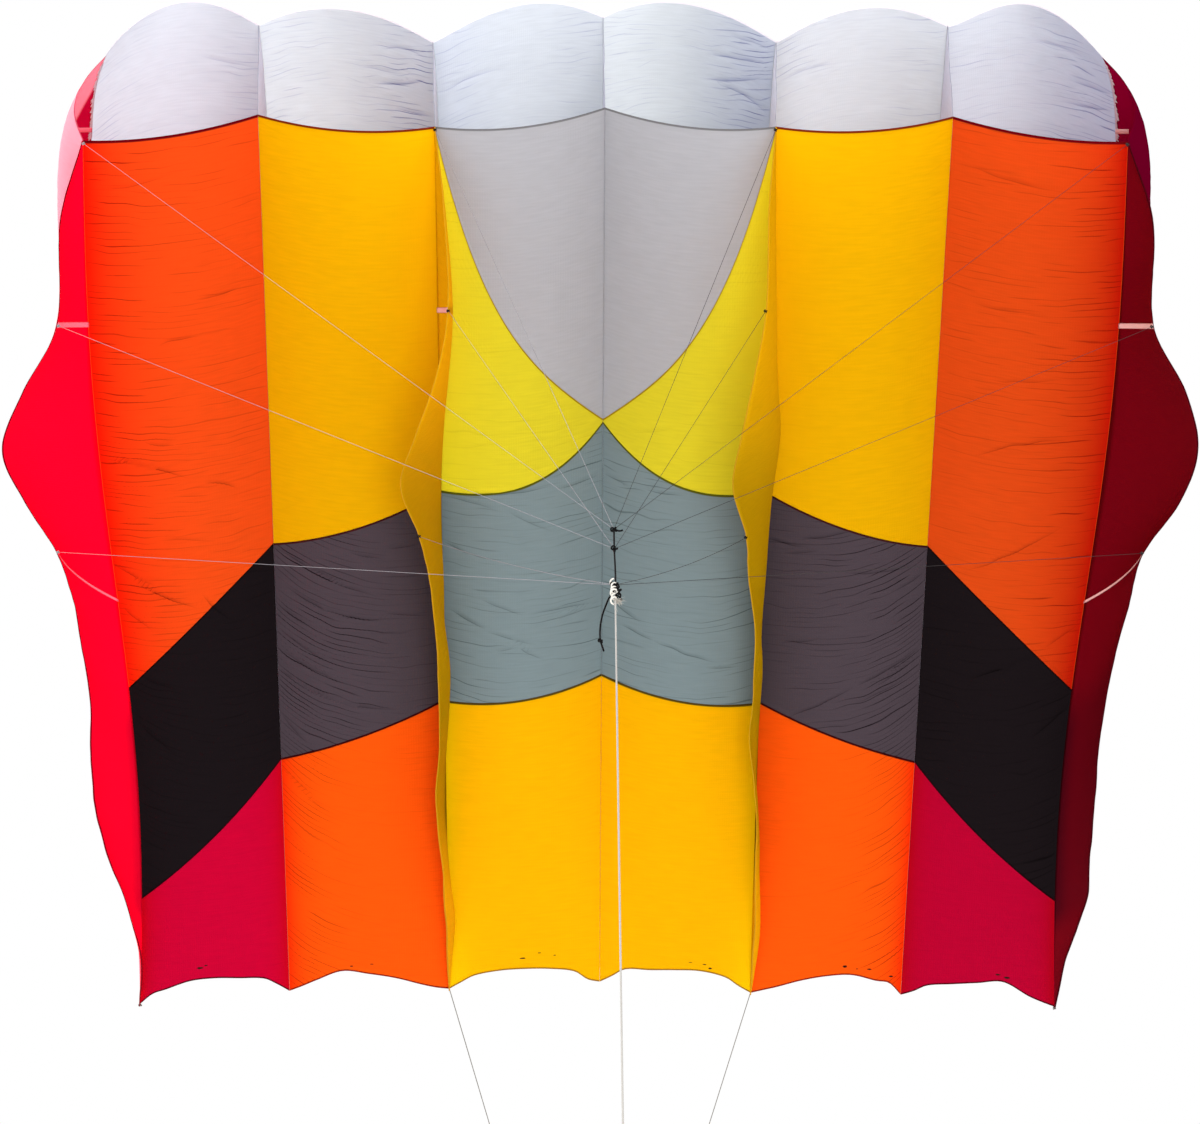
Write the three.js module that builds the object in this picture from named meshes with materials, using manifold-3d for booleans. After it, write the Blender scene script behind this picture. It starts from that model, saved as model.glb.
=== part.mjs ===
import * as THREE from "three";
import { mergeVertices } from "three/addons/utils/BufferGeometryUtils.js";
import Module from "manifold-3d";

// Foil kite in level flight, in millimetres.
// X runs across the span, Y from nose to tail and Z up. The origin is the tow point under the belly.

// Plan
const cellPitch = 340;
const chord = 2100;
const noseY = -205;
const bellyZ = 1500;

// Wing section
const lipAhead = 110;
const sectionHeight = 255;
const crestAt = 0.28;
const tailShape = 1.7;
const tailGap = 0.4;

// Cloth and clearances
const skinCloth = 1.9;
const ribCloth = 1.6;
const tapeCloth = 1.2;
const gap = 0.3;
const hangClearance = 0.8;
const seamGap = 0.3;
const tapeHalf = { b: 0.0022, c: 0.0014 };
const lipPinch = 1.15;

// End ribs bulge out between their seams, their upper seam stands out and their lower one sways along the chord
const endBulge = 64;
const mouthBulge = 36;
const bulgeFade = 24;
const leanFade = 24;
const endStand = 12;
const endTuck = 20;
const endDraw = 9;

// Cords
const bridleRadius = 1;
const cordRadius = 1.6;
const lineRadius = 1.5;
const tailRadius = 1;
const cordStart = 1.4;
const tailStart = 0.6;

// Heights of each rib's lower seam at nose and tail about the belly level, height of its upper lip over
// the lower one, how far the lip stands to the side, and how far nose and tail stray from an even pitch
const ribs = [
  { nose: -139, tail: -101, lip: 160, lean: 30, noseSide: 0, tailSide: 4.5 },
  { nose: -11, tail: -52, lip: 190, lean: -7, noseSide: -7.3, tailSide: -7.1 },
  { nose: -67, tail: -44, lip: 164, lean: -6.4, noseSide: 3.4, tailSide: 8.7 },
  { nose: 29, tail: -17, lip: 198, lean: -1.6, noseSide: -1.4, tailSide: 4.5 },
  { nose: -62, tail: -59, lip: 164, lean: 5.7, noseSide: -5.7, tailSide: 0.7 },
  { nose: -10, tail: -66, lip: 196, lean: 0.3, noseSide: 7.7, tailSide: -4.2 },
  { nose: -129, tail: -111, lip: 158, lean: -33, noseSide: 0, tailSide: -5.6 },
];

// How each cell fills: belly sag, crown at the lip and over the chord, and forward bow of the lip with its
// peak across the cell
const cells = [
  { sag: 38, lipCrown: 98, crown: 100, bow: 44, peak: 0.436 },
  { sag: 46, lipCrown: 39, crown: 84, bow: 36, peak: 0.476 },
  { sag: 48, lipCrown: 39, crown: 84, bow: 37, peak: 0.536 },
  { sag: 48, lipCrown: 46, crown: 84, bow: 36, peak: 0.477 },
  { sag: 44, lipCrown: 49, crown: 84, bow: 36, peak: 0.516 },
  { sag: 36, lipCrown: 101, crown: 100, bow: 43, peak: 0.569 },
];

// Forward pull of the trailing edge at places across a cell, one column for each cell
const pulls = [
  { at: 0, 1: 0, 2: 0, 3: 0, 4: 0, 5: 0, 6: 0 },
  { at: 0.08, 1: 24, 2: 12.4, 3: 16.8, 4: 17.4, 5: 8, 6: 12.4 },
  { at: 1 / 6, 1: 33, 2: 27.5, 3: 33.5, 4: 38.5, 5: 16.5, 6: 30.5 },
  { at: 1 / 3, 1: 50, 2: 52, 3: 43, 4: 41.5, 5: 35.5, 6: 39.8 },
  { at: 1 / 2, 1: 52, 2: 42.8, 3: 44, 4: 46.6, 5: 48, 6: 48 },
  { at: 2 / 3, 1: 46.5, 2: 30.5, 3: 41, 4: 49, 5: 52, 6: 55.5 },
  { at: 5 / 6, 1: 39.5, 2: 12, 3: 31, 4: 37, 5: 36.7, 6: 22.8 },
  { at: 0.92, 1: 21, 2: 4, 3: 8, 4: 16, 5: 31, 6: 10 },
  { at: 1, 1: 0, 2: 0, 3: 0, 4: 0, 5: 0, 6: 0 },
];

// Belly seams as shares of the chord, from the rib nearer the tip to the rib nearer the middle.
// power bends the seam toward one end and bow arches it
const seamsOuter = [
  { tip: 0.603, mid: 0.459, power: 1, bow: -0.004 },
  { tip: 0.862, mid: 0.71, power: 1, bow: 0.004 },
];
const seamsMiddle = [
  { tip: 0.459, mid: 0.391, power: 1, bow: 0.001 },
  { tip: 0.71, mid: 0.635, power: 1, bow: -0.003 },
];
const seamsInner = [
  { tip: 0.002, mid: 0.329, power: 1, rush: 0.45 },
  { tip: 0.391, mid: 0.332, power: 3, bow: 0 },
  { tip: 0.636, mid: 0.62, power: 1.6, bow: 0 },
];

const red = "#e8301a";
const colours = {
  outer: ["#ff4a17", "#140f12", "#cf0036"],
  middle: ["#f5ae00", "#4c3d43", "#ff5a0a"],
  inner: ["#b9b6b9", "#e0d20f", "#7c8e8d", "#ffb700"],
};

// Flares and keels: place of the free edge and of its root along the chord, hang under the rib, the
// sideways drift of each piece's free edge, and the swell of the two keels
const hangs = [
  {
    along: 0, root: 0, hang: 9, flareLeft: 0, flareRight: 0,
    keelLeft: 0, keelRight: 0, swellLeft: 0, swellRight: 0,
  },
  {
    along: 0.055, root: 0.085, hang: 110, flareLeft: -33, flareRight: 38,
    keelLeft: 18, keelRight: -15, swellLeft: 8, swellRight: 8,
  },
  {
    along: 0.135, root: 0.192, hang: 240, flareLeft: -31, flareRight: 30,
    keelLeft: 27, keelRight: -23, swellLeft: 18, swellRight: 16,
  },
  {
    along: 0.19, root: 0.26, hang: 298, flareLeft: -95, flareRight: 93,
    keelLeft: 4, keelRight: -46, swellLeft: 22, swellRight: 30,
  },
  {
    along: 0.245, root: 0.33, hang: 318, flareLeft: -141, flareRight: 123,
    keelLeft: -36, keelRight: -68, swellLeft: 24, swellRight: 48,
  },
  {
    along: 0.31, root: 0.415, hang: 285, flareLeft: -114, flareRight: 106,
    keelLeft: -71, keelRight: -82, swellLeft: 22, swellRight: 38,
  },
  {
    along: 0.378, root: 0.5, hang: 240, flareLeft: -70, flareRight: 57,
    keelLeft: -38, keelRight: -50, swellLeft: 18, swellRight: 20,
  },
  {
    along: 0.44, root: 0.565, hang: 194, flareLeft: -60, flareRight: 53,
    keelLeft: -20, keelRight: -40, swellLeft: 13, swellRight: 10,
  },
  {
    along: 0.51, root: 0.624, hang: 163, flareLeft: -58, flareRight: 50,
    keelLeft: -11, keelRight: -22, swellLeft: 20, swellRight: 10,
  },
  {
    along: 0.58, root: 0.68, hang: 140, flareLeft: -62, flareRight: 47,
    keelLeft: -6, keelRight: -20, swellLeft: 13, swellRight: 4,
  },
  {
    along: 0.64, root: 0.731, hang: 130, flareLeft: -74, flareRight: 50,
    keelLeft: -8, keelRight: -27, swellLeft: 2, swellRight: 4,
  },
  {
    along: 0.7, root: 0.78, hang: 122, flareLeft: -81, flareRight: 53,
    keelLeft: -16, keelRight: -12, swellLeft: 2, swellRight: 6,
  },
  {
    along: 0.76, root: 0.826, hang: 108, flareLeft: -64, flareRight: 59,
    keelLeft: -15, keelRight: -4, swellLeft: 8, swellRight: 8,
  },
  {
    along: 0.82, root: 0.87, hang: 88, flareLeft: -38, flareRight: 60,
    keelLeft: -7, keelRight: -2, swellLeft: 11, swellRight: 11,
  },
  {
    along: 0.875, root: 0.91, hang: 61, flareLeft: -15, flareRight: 43,
    keelLeft: -5, keelRight: 0, swellLeft: 18, swellRight: 14,
  },
  {
    along: 0.93, root: 0.95, hang: 32, flareLeft: 4, flareRight: 21,
    keelLeft: -4, keelRight: 1, swellLeft: 12, swellRight: 12,
  },
  {
    along: 1, root: 1, hang: 9, flareLeft: 0, flareRight: 0,
    keelLeft: 0, keelRight: 0, swellLeft: 0, swellRight: 0,
  },
];
const hung = [
  { name: "flare_left", rib: 0, drift: "flareLeft", belly: -26, colour: "#ff0033", tapeSide: 1 },
  { name: "keel_left", rib: 2, drift: "keelLeft", swell: "swellLeft", colour: "#d99a00", tapeSide: 0 },
  { name: "keel_right", rib: 4, drift: "keelRight", swell: "swellRight", colour: "#d99a00", tapeSide: 0 },
  { name: "flare_right", rib: 6, drift: "flareRight", belly: 24, colour: "#8a0010", tapeSide: -1 },
];
const tabs = { a: 0, b: hangs[2].along, c: hangs[6].along };

// Bridle knots up the adjuster from the tow point, and the ends of the long cords
const knots = {
  a: new THREE.Vector3(0, -14, 165),
  b: new THREE.Vector3(0, -6, 112),
  c: new THREE.Vector3(0, 0, 0),
};
const knotRadius = { a: 6, b: 6, c: 9 };
const legStart = { a: 6.4, b: 7.6, c: 9.4 };
const slackLegs = { keel_left: 15, keel_right: 16 };
const lineEnd = new THREE.Vector3(-16, -188, -1792);
const tailEnd = { along: 412, inward: 100, drop: 26 };
const looseTail = [
  [0, 0, 0],
  [-12, 16, -22],
  [-23, 34, -52],
  [-26, 50, -86],
  [-20, 62, -112],
];

const chordSteps = [0, 0.04, 0.1, 0.18, 0.28, 0.38, 0.48, 0.58, 0.68, 0.78, 0.87, 0.94, 0.985, 1];
const kite = new THREE.Group();
kite.name = "foil_kite";

const mix = (a, b, t) => a + (b - a) * t;
const steps = (n) => Array.from({ length: n + 1 }, (_, k) => k / n);

// Smooth curve through one column of a table
function through(rows, key, column, at) {
  let k = 0;
  while (k < rows.length - 2 && at > rows[k + 1][key]) k += 1;
  const slope = (j) => {
    const before = rows[Math.max(0, j - 1)];
    const after = rows[Math.min(rows.length - 1, j + 1)];
    return (after[column] - before[column]) / (after[key] - before[key]);
  };
  const span = rows[k + 1][key] - rows[k][key];
  const t = (at - rows[k][key]) / span;
  const rise = t * t * (3 - 2 * t);
  const swing = t * (1 - t) * span * ((1 - t) * slope(k) - t * slope(k + 1));
  return mix(rows[k][column], rows[k + 1][column], rise) + swing;
}

// Bell across a cell that is zero at both ribs and one at its peak
function bell(u, peak) {
  const p = Math.pow(u, Math.log(0.5) / Math.log(peak));
  return 4 * p * (1 - p);
}

// Lower seam of a rib: straight along the chord, with the sway of the two end ribs
function ribSide(i, c) {
  const inward = endDraw * Math.sin(Math.PI * c) - endTuck * Math.sin(2 * Math.PI * c);
  const sway = i === 0 ? inward : i === 6 ? -inward : 0;
  return (i - 3) * cellPitch + mix(ribs[i].noseSide, ribs[i].tailSide, c) + sway;
}
const ribLow = (i, c) => bellyZ + mix(ribs[i].nose, ribs[i].tail, c);

// Sideways stand of the upper lip, fading just behind it into the stand of the two end ribs' upper seam
function leanAt(i, w) {
  const near = Math.pow(1 - w, leanFade);
  const out = i === 0 ? -1 : i === 6 ? 1 : 0;
  return ribs[i].lean * near + out * endStand * (1 - near) * (1 - w);
}

// Section height over the lower seam, from the lip to the trailing edge
function ribHeight(i, w) {
  if (w < crestAt) {
    const rest = 1 - w / crestAt;
    return mix(sectionHeight, ribs[i].lip, rest * rest);
  }
  const fall = Math.pow((w - crestAt) / (1 - crestAt), tailShape);
  return mix(sectionHeight, tailGap, fall);
}

// Trailing edge of a cell as a share of the chord
function cellTail(cell, u) {
  return 1 - through(pulls, "at", cell + 1, u) / chord;
}

// Point of the belly: between its two seams, sagging as the cell fills
function bellyPoint(cell, u, c) {
  const edge = c / cellTail(cell, u);
  const sag = cells[cell].sag * bell(u, 0.5) * (1 - Math.pow(edge, 5));
  const inset = seamGap / 2;
  return new THREE.Vector3(
    mix(ribSide(cell, c) + inset, ribSide(cell + 1, c) - inset, u),
    noseY + c * chord,
    mix(ribLow(cell, c), ribLow(cell + 1, c), u) - sag,
  );
}

// Point of the upper skin: over the two ribs, crowned, with its lip bowed forward
function topPoint(cell, u, w) {
  const row = cells[cell];
  const arch = bell(u, mix(row.peak, 0.5, Math.min(1, w * 3)));
  const lip = -(lipAhead + row.bow * arch) / chord;
  const c = mix(lip, cellTail(cell, u), w);
  const swell = Math.min(1, w / crestAt);
  const rise = mix(row.lipCrown, row.crown, swell * (2 - swell));
  const fade = 1 - Math.pow(Math.max(0, (w - crestAt) / (1 - crestAt)), 2);
  const left = ribSide(cell, c) + leanAt(cell, w) + seamGap / 2;
  const right = ribSide(cell + 1, c) + leanAt(cell + 1, w) - seamGap / 2;
  return new THREE.Vector3(
    mix(left, right, u),
    noseY + c * chord,
    mix(ribLow(cell, c) + ribHeight(cell, w), ribLow(cell + 1, c) + ribHeight(cell + 1, w), u) +
      rise * fade * Math.pow(arch, mix(lipPinch, 1, swell)),
  );
}

// Point of a rib: from its lower seam up to its upper one. The end ribs bulge out between them
function ribPoint(i, h, w) {
  const cLow = w;
  const cTop = mix(-lipAhead / chord, 1, w);
  const out = i === 0 ? -1 : i === 6 ? 1 : 0;
  const swell = mix(endBulge, mouthBulge, Math.pow(1 - w, bulgeFade)) * (1 - w * w);
  const bulge = out * swell * Math.sin(Math.PI * h);
  const inset = i === 0 ? 1 : i === 6 ? -1 : 0;
  return new THREE.Vector3(
    mix(ribSide(i, cLow), ribSide(i, cTop) + leanAt(i, w), h) + bulge + inset,
    noseY + mix(cLow, cTop, h) * chord,
    mix(ribLow(i, cLow) + gap, ribLow(i, cTop) + ribHeight(i, w) - gap, h),
  );
}

// Point of a flare or keel: from its root under the rib to its free edge, with a little belly
function hungPoint(piece, s, along) {
  const root = through(hangs, "along", "root", along);
  const hang = through(hangs, "along", "hang", along);
  const drift = through(hangs, "along", piece.drift, along);
  const full = piece.swell ? through(hangs, "along", piece.swell, along) : piece.belly * (hang / 318);
  const belly = full * 4 * s * (1 - s);
  const rootZ = ribLow(piece.rib, root) - skinCloth - hangClearance;
  return new THREE.Vector3(
    mix(ribSide(piece.rib, root), ribSide(piece.rib, along) + drift, s) + belly,
    noseY + mix(root, along, s) * chord,
    mix(rootZ, ribLow(piece.rib, along) - skinCloth - hang, s),
  );
}

// Share of the chord at which a belly seam crosses the cell
function seamShare(seam, v) {
  if (seam.rush) {
    return seam.mid * mix(v, 1 - Math.pow(1 - v, 4), seam.rush) + seam.tip * (1 - v);
  }
  return mix(seam.tip, seam.mid, Math.pow(v, seam.power)) + seam.bow * 4 * v * (1 - v);
}

function addMesh(name, geometry, colour, rough) {
  const material = new THREE.MeshStandardMaterial({ color: colour, roughness: rough, metalness: 0 });
  const mesh = new THREE.Mesh(geometry, material);
  mesh.name = name;
  kite.add(mesh);
}

// Closed sheet from a grid of points, thickened along one direction
function sheet(us, ws, pointAt, toBack) {
  const cols = us.length;
  const rows = ws.length;
  const front = ws.flatMap((w) => us.map((u) => pointAt(u, w)));
  const back = front.map((p) => p.clone().add(toBack));
  const flat = [...front, ...back].flatMap((p) => [p.x, p.y, p.z]);
  const faces = [];
  const quad = (a, b, c, d) => faces.push(a, b, c, a, c, d);
  const at = (k, j) => j * cols + k;
  const shift = cols * rows;
  for (let j = 0; j < rows - 1; j += 1) {
    for (let k = 0; k < cols - 1; k += 1) {
      quad(at(k, j), at(k + 1, j), at(k + 1, j + 1), at(k, j + 1));
      quad(at(k, j) + shift, at(k, j + 1) + shift, at(k + 1, j + 1) + shift, at(k + 1, j) + shift);
    }
  }
  const rim = [];
  for (let k = 0; k < cols - 1; k += 1) rim.push(at(k, 0));
  for (let j = 0; j < rows - 1; j += 1) rim.push(at(cols - 1, j));
  for (let k = cols - 1; k > 0; k -= 1) rim.push(at(k, rows - 1));
  for (let j = rows - 1; j > 0; j -= 1) rim.push(at(0, j));
  rim.forEach((a, k) => {
    const b = rim[(k + 1) % rim.length];
    quad(b, a, a + shift, b + shift);
  });
  const geometry = new THREE.BufferGeometry();
  geometry.setAttribute("position", new THREE.Float32BufferAttribute(flat, 3));
  geometry.setIndex(volumeOf(flat, faces) < 0 ? faces.reverse() : faces);
  geometry.computeVertexNormals();
  return geometry;
}

// Signed volume of a closed set of triangles
function volumeOf(flat, faces) {
  const corner = (k) => new THREE.Vector3().fromArray(flat, 3 * k);
  let total = 0;
  for (let k = 0; k < faces.length; k += 3) {
    total += corner(faces[k]).dot(corner(faces[k + 1]).cross(corner(faces[k + 2]))) / 6;
  }
  return total;
}

// Round cord along a path
function cord(path, radius, count) {
  const section = new THREE.Shape();
  section.absarc(0, 0, radius, 0, 2 * Math.PI, false);
  return new THREE.ExtrudeGeometry(section, { steps: count, extrudePath: path, curveSegments: 4 });
}

const solids = await Module();
solids.setup();

// Joins overlapping closed geometries into one
function fuse(list) {
  const made = list.map((g) => {
    const bare = new THREE.BufferGeometry();
    const plain = g.index ? g.toNonIndexed() : g;
    bare.setAttribute("position", plain.getAttribute("position"));
    const merged = mergeVertices(bare, 1e-3);
    const mesh = new solids.Mesh({
      numProp: 3,
      vertProperties: merged.attributes.position.array,
      triVerts: new Uint32Array(merged.index.array),
    });
    return new solids.Manifold(mesh);
  });
  const result = solids.Manifold.union(made).getMesh();
  const geometry = new THREE.BufferGeometry();
  geometry.setAttribute("position", new THREE.BufferAttribute(result.vertProperties, 3));
  geometry.setIndex(new THREE.BufferAttribute(result.triVerts, 1));
  return geometry;
}

const knot = (at, radius) => {
  const ball = new THREE.SphereGeometry(radius, 8, 6);
  ball.translate(at.x, at.y, at.z);
  return ball;
};

// Upper skin
const across = steps(6);
const up = new THREE.Vector3(0, 0, skinCloth);
const down = new THREE.Vector3(0, 0, -skinCloth);
cells.forEach((_, cell) => {
  const name = `top_${cell + 1}`;
  addMesh(name, sheet(across, chordSteps, (u, w) => topPoint(cell, u, w), up), "#e4e4ea", 0.6);
});

// Belly panels
cells.forEach((_, cell) => {
  const ring = Math.min(cell, 5 - cell);
  const seams = [seamsOuter, seamsMiddle, seamsInner][ring];
  const cloths = [colours.outer, colours.middle, colours.inner][ring];
  cloths.forEach((colour, k) => {
    const limit = (seam, u) => seamShare(seam, cell < 3 ? u : 1 - u);
    const half = seamGap / 2 / chord;
    const from = (u) => (k === 0 ? 0 : limit(seams[k - 1], u) + half);
    const to = (u) => (k === seams.length ? cellTail(cell, u) : limit(seams[k], u) - half);
    const point = (u, w) => bellyPoint(cell, u, mix(from(u), to(u), w));
    const name = `belly_${cell + 1}_${"abcd"[k]}`;
    addMesh(name, sheet(across, steps(4), point, down), colour, 0.6);
  });
});

// Ribs
const ribSteps = chordSteps.slice(0, -1);
ribs.forEach((_, i) => {
  const end = i === 0 || i === 6;
  const name = end ? (i === 0 ? "end_rib_left" : "end_rib_right") : `rib_${i}`;
  const half = new THREE.Vector3(ribCloth / 2, 0, 0);
  const point = (h, w) => ribPoint(i, h, w).sub(half);
  const heights = end ? steps(5) : steps(1);
  const across = new THREE.Vector3(ribCloth, 0, 0);
  addMesh(name, sheet(heights, ribSteps, point, across), end ? red : "#dcdce4", 0.6);
});

// Flares and keels with the tapes across the flares
const tabSteps = (row) => [tabs[row] - tapeHalf[row], tabs[row], tabs[row] + tapeHalf[row]];
const hangSteps = [0, 0.028, 0.055, 0.095, ...tabSteps("b"), 0.165, 0.19, 0.218, 0.245, 0.28, 0.31, 0.345];
hangSteps.push(...tabSteps("c"), 0.41, 0.44, 0.51, 0.58, 0.64, 0.7, 0.76, 0.82, 0.875, 0.93, 1);
const drop = steps(5);
hung.forEach((piece) => {
  const at = (s, along, x) => hungPoint(piece, s, along).add(new THREE.Vector3(x, 0, 0));
  const through = new THREE.Vector3(ribCloth, 0, 0);
  addMesh(piece.name, sheet(drop, hangSteps, (s, a) => at(s, a, -ribCloth / 2), through), piece.colour, 0.6);
  if (!piece.tapeSide) return;
  const face = piece.tapeSide * (ribCloth / 2 + gap);
  const depth = new THREE.Vector3(piece.tapeSide * tapeCloth, 0, 0);
  const side = piece.name.replace("flare_", "");
  ["b", "c"].forEach((row) => {
    const tape = sheet(drop, tabSteps(row), (s, a) => at(s, a, face), depth);
    addMesh(`tape_${side}_${row}`, tape, "#f0a0a0", 0.7);
  });
});

// Bridle legs from the tabs to the knots of the adjuster. The two rear keel legs hang slack
hung.forEach((piece, k) => {
  ["a", "b", "c"].forEach((row) => {
    const tab = hungPoint(piece, 1, tabs[row]);
    const toKnot = knots[row].clone().sub(tab).normalize();
    const start = tab.clone().addScaledVector(toKnot, cordStart);
    const end = knots[row].clone().addScaledVector(toKnot, -legStart[row]);
    const slack = row === "c" ? (slackLegs[piece.name] ?? 0) : 0;
    const middle = start.clone().lerp(end, 0.5).add(new THREE.Vector3(0, slack, -slack));
    const path = slack ? new THREE.QuadraticBezierCurve3(start, middle, end) : new THREE.LineCurve3(start, end);
    addMesh(`bridle_${row}${k + 1}`, cord(path, bridleRadius, slack ? 12 : 1), "#e8e4dc", 0.7);
  });
});

// Adjuster cord with its knots and free tail
const climb = new THREE.CatmullRomCurve3([knots.c, knots.b, knots.a]);
const loose = new THREE.CatmullRomCurve3(looseTail.map((p) => new THREE.Vector3(...p)));
const adjuster = [cord(climb, cordRadius, 6), cord(loose, cordRadius, 10), knot(loose.getPoint(0.82), 4)];
Object.keys(knots).forEach((row) => adjuster.push(knot(knots[row], knotRadius[row])));
addMesh("adjuster", fuse(adjuster), "#191619", 0.8);

// A cord that ends in a tied loop
function loopedCord(name, start, end, radius, colour) {
  const along = end.clone().sub(start).normalize();
  const ring = new THREE.TorusGeometry(22, radius, 6, 16);
  ring.scale(0.5, 1, 1);
  const turn = new THREE.Quaternion().setFromUnitVectors(new THREE.Vector3(0, 1, 0), along);
  const centre = end.clone().addScaledVector(along, 22);
  ring.applyQuaternion(turn).translate(centre.x, centre.y, centre.z);
  const run = cord(new THREE.LineCurve3(start, end), radius, 1);
  addMesh(name, fuse([run, ring, knot(end, radius * 2.2)]), colour, 0.7);
}
const lineStart = lineEnd.clone().setLength(knotRadius.c + gap);
loopedCord("flying_line", lineStart, lineEnd, lineRadius, "#f2f0ea");
[2, 4].forEach((i) => {
  const side = i === 2 ? 1 : -1;
  const start = new THREE.Vector3(ribSide(i, 1), noseY + chord + tailStart, ribLow(i, 1) - skinCloth / 2);
  const reach = new THREE.Vector3(side * tailEnd.inward, tailEnd.along, -tailEnd.drop);
  const name = i === 2 ? "tail_line_left" : "tail_line_right";
  loopedCord(name, start, start.clone().add(reach), tailRadius, "#cfcac2");
});

export default kite;
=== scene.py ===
import math

import bpy
import numpy as np
from mathutils import Matrix, Vector


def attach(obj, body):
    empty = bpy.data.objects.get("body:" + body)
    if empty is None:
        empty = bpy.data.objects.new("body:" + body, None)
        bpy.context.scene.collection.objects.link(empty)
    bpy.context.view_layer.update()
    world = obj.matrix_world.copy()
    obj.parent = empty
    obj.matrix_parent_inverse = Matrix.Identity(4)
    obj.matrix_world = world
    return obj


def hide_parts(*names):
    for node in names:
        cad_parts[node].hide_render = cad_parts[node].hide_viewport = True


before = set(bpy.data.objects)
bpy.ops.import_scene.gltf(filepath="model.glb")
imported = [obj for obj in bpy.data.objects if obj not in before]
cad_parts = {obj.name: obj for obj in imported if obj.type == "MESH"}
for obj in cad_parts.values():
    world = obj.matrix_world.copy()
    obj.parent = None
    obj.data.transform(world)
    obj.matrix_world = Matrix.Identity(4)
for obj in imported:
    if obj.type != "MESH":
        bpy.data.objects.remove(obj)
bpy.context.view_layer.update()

# Foil kite in level flight. Metres, X across the span, Y from nose to tail, Z up, tow point at the origin.
mm = 0.001


# Table of rows in mm as arrays in metres
def inMm(table):
    return {key: np.array(row) * mm for key, row in table.items()}


# Plan and section of the wing
wing = {
    "pitch": 0.34, "chord": 2.1, "noseY": -0.205, "bellyZ": 1.5,
    "lipAhead": 0.11, "height": 0.255, "crestAt": 0.28, "tailShape": 1.7, "tailGap": 0.0004,
    "seamGap": 0.0003, "ribGap": 0.0003, "skinCloth": 0.0019, "hangClearance": 0.0008,
    "endBulge": 0.064, "mouthBulge": 0.036, "bulgeFade": 24, "leanFade": 24,
    "endStand": 0.012, "endTuck": 0.02, "endDraw": 0.009, "endInset": 0.001, "lipPinch": 1.15,
}
pitch, chord = wing["pitch"], wing["chord"]

# By rib, left to right: lower seam at nose and tail, lip over it, its sideways stand, stray of nose and tail
ribs = inMm({
    "nose": [-139, -11, -67, 29, -62, -10, -129],
    "tail": [-101, -52, -44, -17, -59, -66, -111],
    "lip": [160, 190, 164, 198, 164, 196, 158],
    "lean": [30, -7, -6.4, -1.6, 5.7, 0.3, -33],
    "noseSide": [0, -7.3, 3.4, -1.4, -5.7, 7.7, 0],
    "tailSide": [4.5, -7.1, 8.7, 4.5, 0.7, -4.2, -5.6],
})

# By cell, left to right
cells = inMm({
    "sag": [38, 46, 48, 48, 44, 36],
    "lipCrown": [98, 39, 39, 46, 49, 101],
    "crown": [100, 84, 84, 84, 84, 100],
    "bow": [44, 36, 37, 36, 36, 43],
})
cells["peak"] = np.array([0.436, 0.476, 0.536, 0.477, 0.516, 0.569])

# Forward pull of the trailing edge at places across a cell, one row for each cell
pulls = {
    "at": np.array([0, 0.08, 1 / 6, 1 / 3, 1 / 2, 2 / 3, 5 / 6, 0.92, 1]),
    "drawn": mm * np.array([
        [0, 24, 33, 50, 52, 46.5, 39.5, 21, 0], [0, 12.4, 27.5, 52, 42.8, 30.5, 12, 4, 0],
        [0, 16.8, 33.5, 43, 44, 41, 31, 8, 0], [0, 17.4, 38.5, 41.5, 46.6, 49, 37, 16, 0],
        [0, 8, 16.5, 35.5, 48, 52, 36.7, 31, 0], [0, 12.4, 30.5, 39.8, 48, 55.5, 22.8, 10, 0],
    ]),
}


# Straight mix from a to b
def mix(a, b, t):
    return a + (b - a) * t


# Smooth step: 0 below low, 1 above high
def ease(low, high, x):
    t = np.clip((x - low) / (high - low), 0, 1)
    return t * t * (3 - 2 * t)


# Gaussian fall from 1 at zero
def hump(x, wide):
    return np.exp(-((x / wide) ** 2))


# Bell across a cell: 4p(1 - p), with p the power of u that puts one half at the peak
def bell(u, peak):
    p = np.power(u, math.log(0.5) / np.log(peak))
    return 4 * p * (1 - p)


# Vectors divided by their lengths
def unit(v):
    return v / np.linalg.norm(v, axis=-1, keepdims=True)


# Coordinates side by side as one array
def pack(*parts):
    return np.stack(np.broadcast_arrays(*parts), axis=-1)


# Lengths of the steps along one side of a grid or path
def steps(points, axis=0):
    return np.linalg.norm(np.diff(points, axis=axis), axis=-1)


# Rows of a table as dictionaries by column, without the empty places
def tabled(columns, rows):
    filled = lambda row: {key: value for key, value in zip(columns.split(), row) if value is not None}
    return {name: filled(row) for name, row in rows.items()}


# Cubic through a row of values at given places, with central differences as slopes
def through(key, value, at):
    last = len(key) - 1
    j = np.arange(last + 1)
    before, after = np.maximum(j - 1, 0), np.minimum(j + 1, last)
    slope = (value[after] - value[before]) / (key[after] - key[before])
    k = np.clip(np.searchsorted(key, at, side="left") - 1, 0, last - 1)
    span = key[k + 1] - key[k]
    t = (at - key[k]) / span
    swing = t * (1 - t) * span * ((1 - t) * slope[k] - t * slope[k + 1])
    return mix(value[k], value[k + 1], t * t * (3 - 2 * t)) + swing


# Way to the middle from an end rib: 1 at the left, -1 at the right, 0 for the ribs between
def inwardOf(i):
    return {0: 1, 6: -1}.get(i, 0)


# Y at a share of the chord: the nose plus that share of its length
def chordY(c):
    return wing["noseY"] + c * chord


# Share of the way from the crest to the trailing edge
def pastCrest(w):
    return np.clip((w - wing["crestAt"]) / (1 - wing["crestAt"]), 0, 1)


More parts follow.
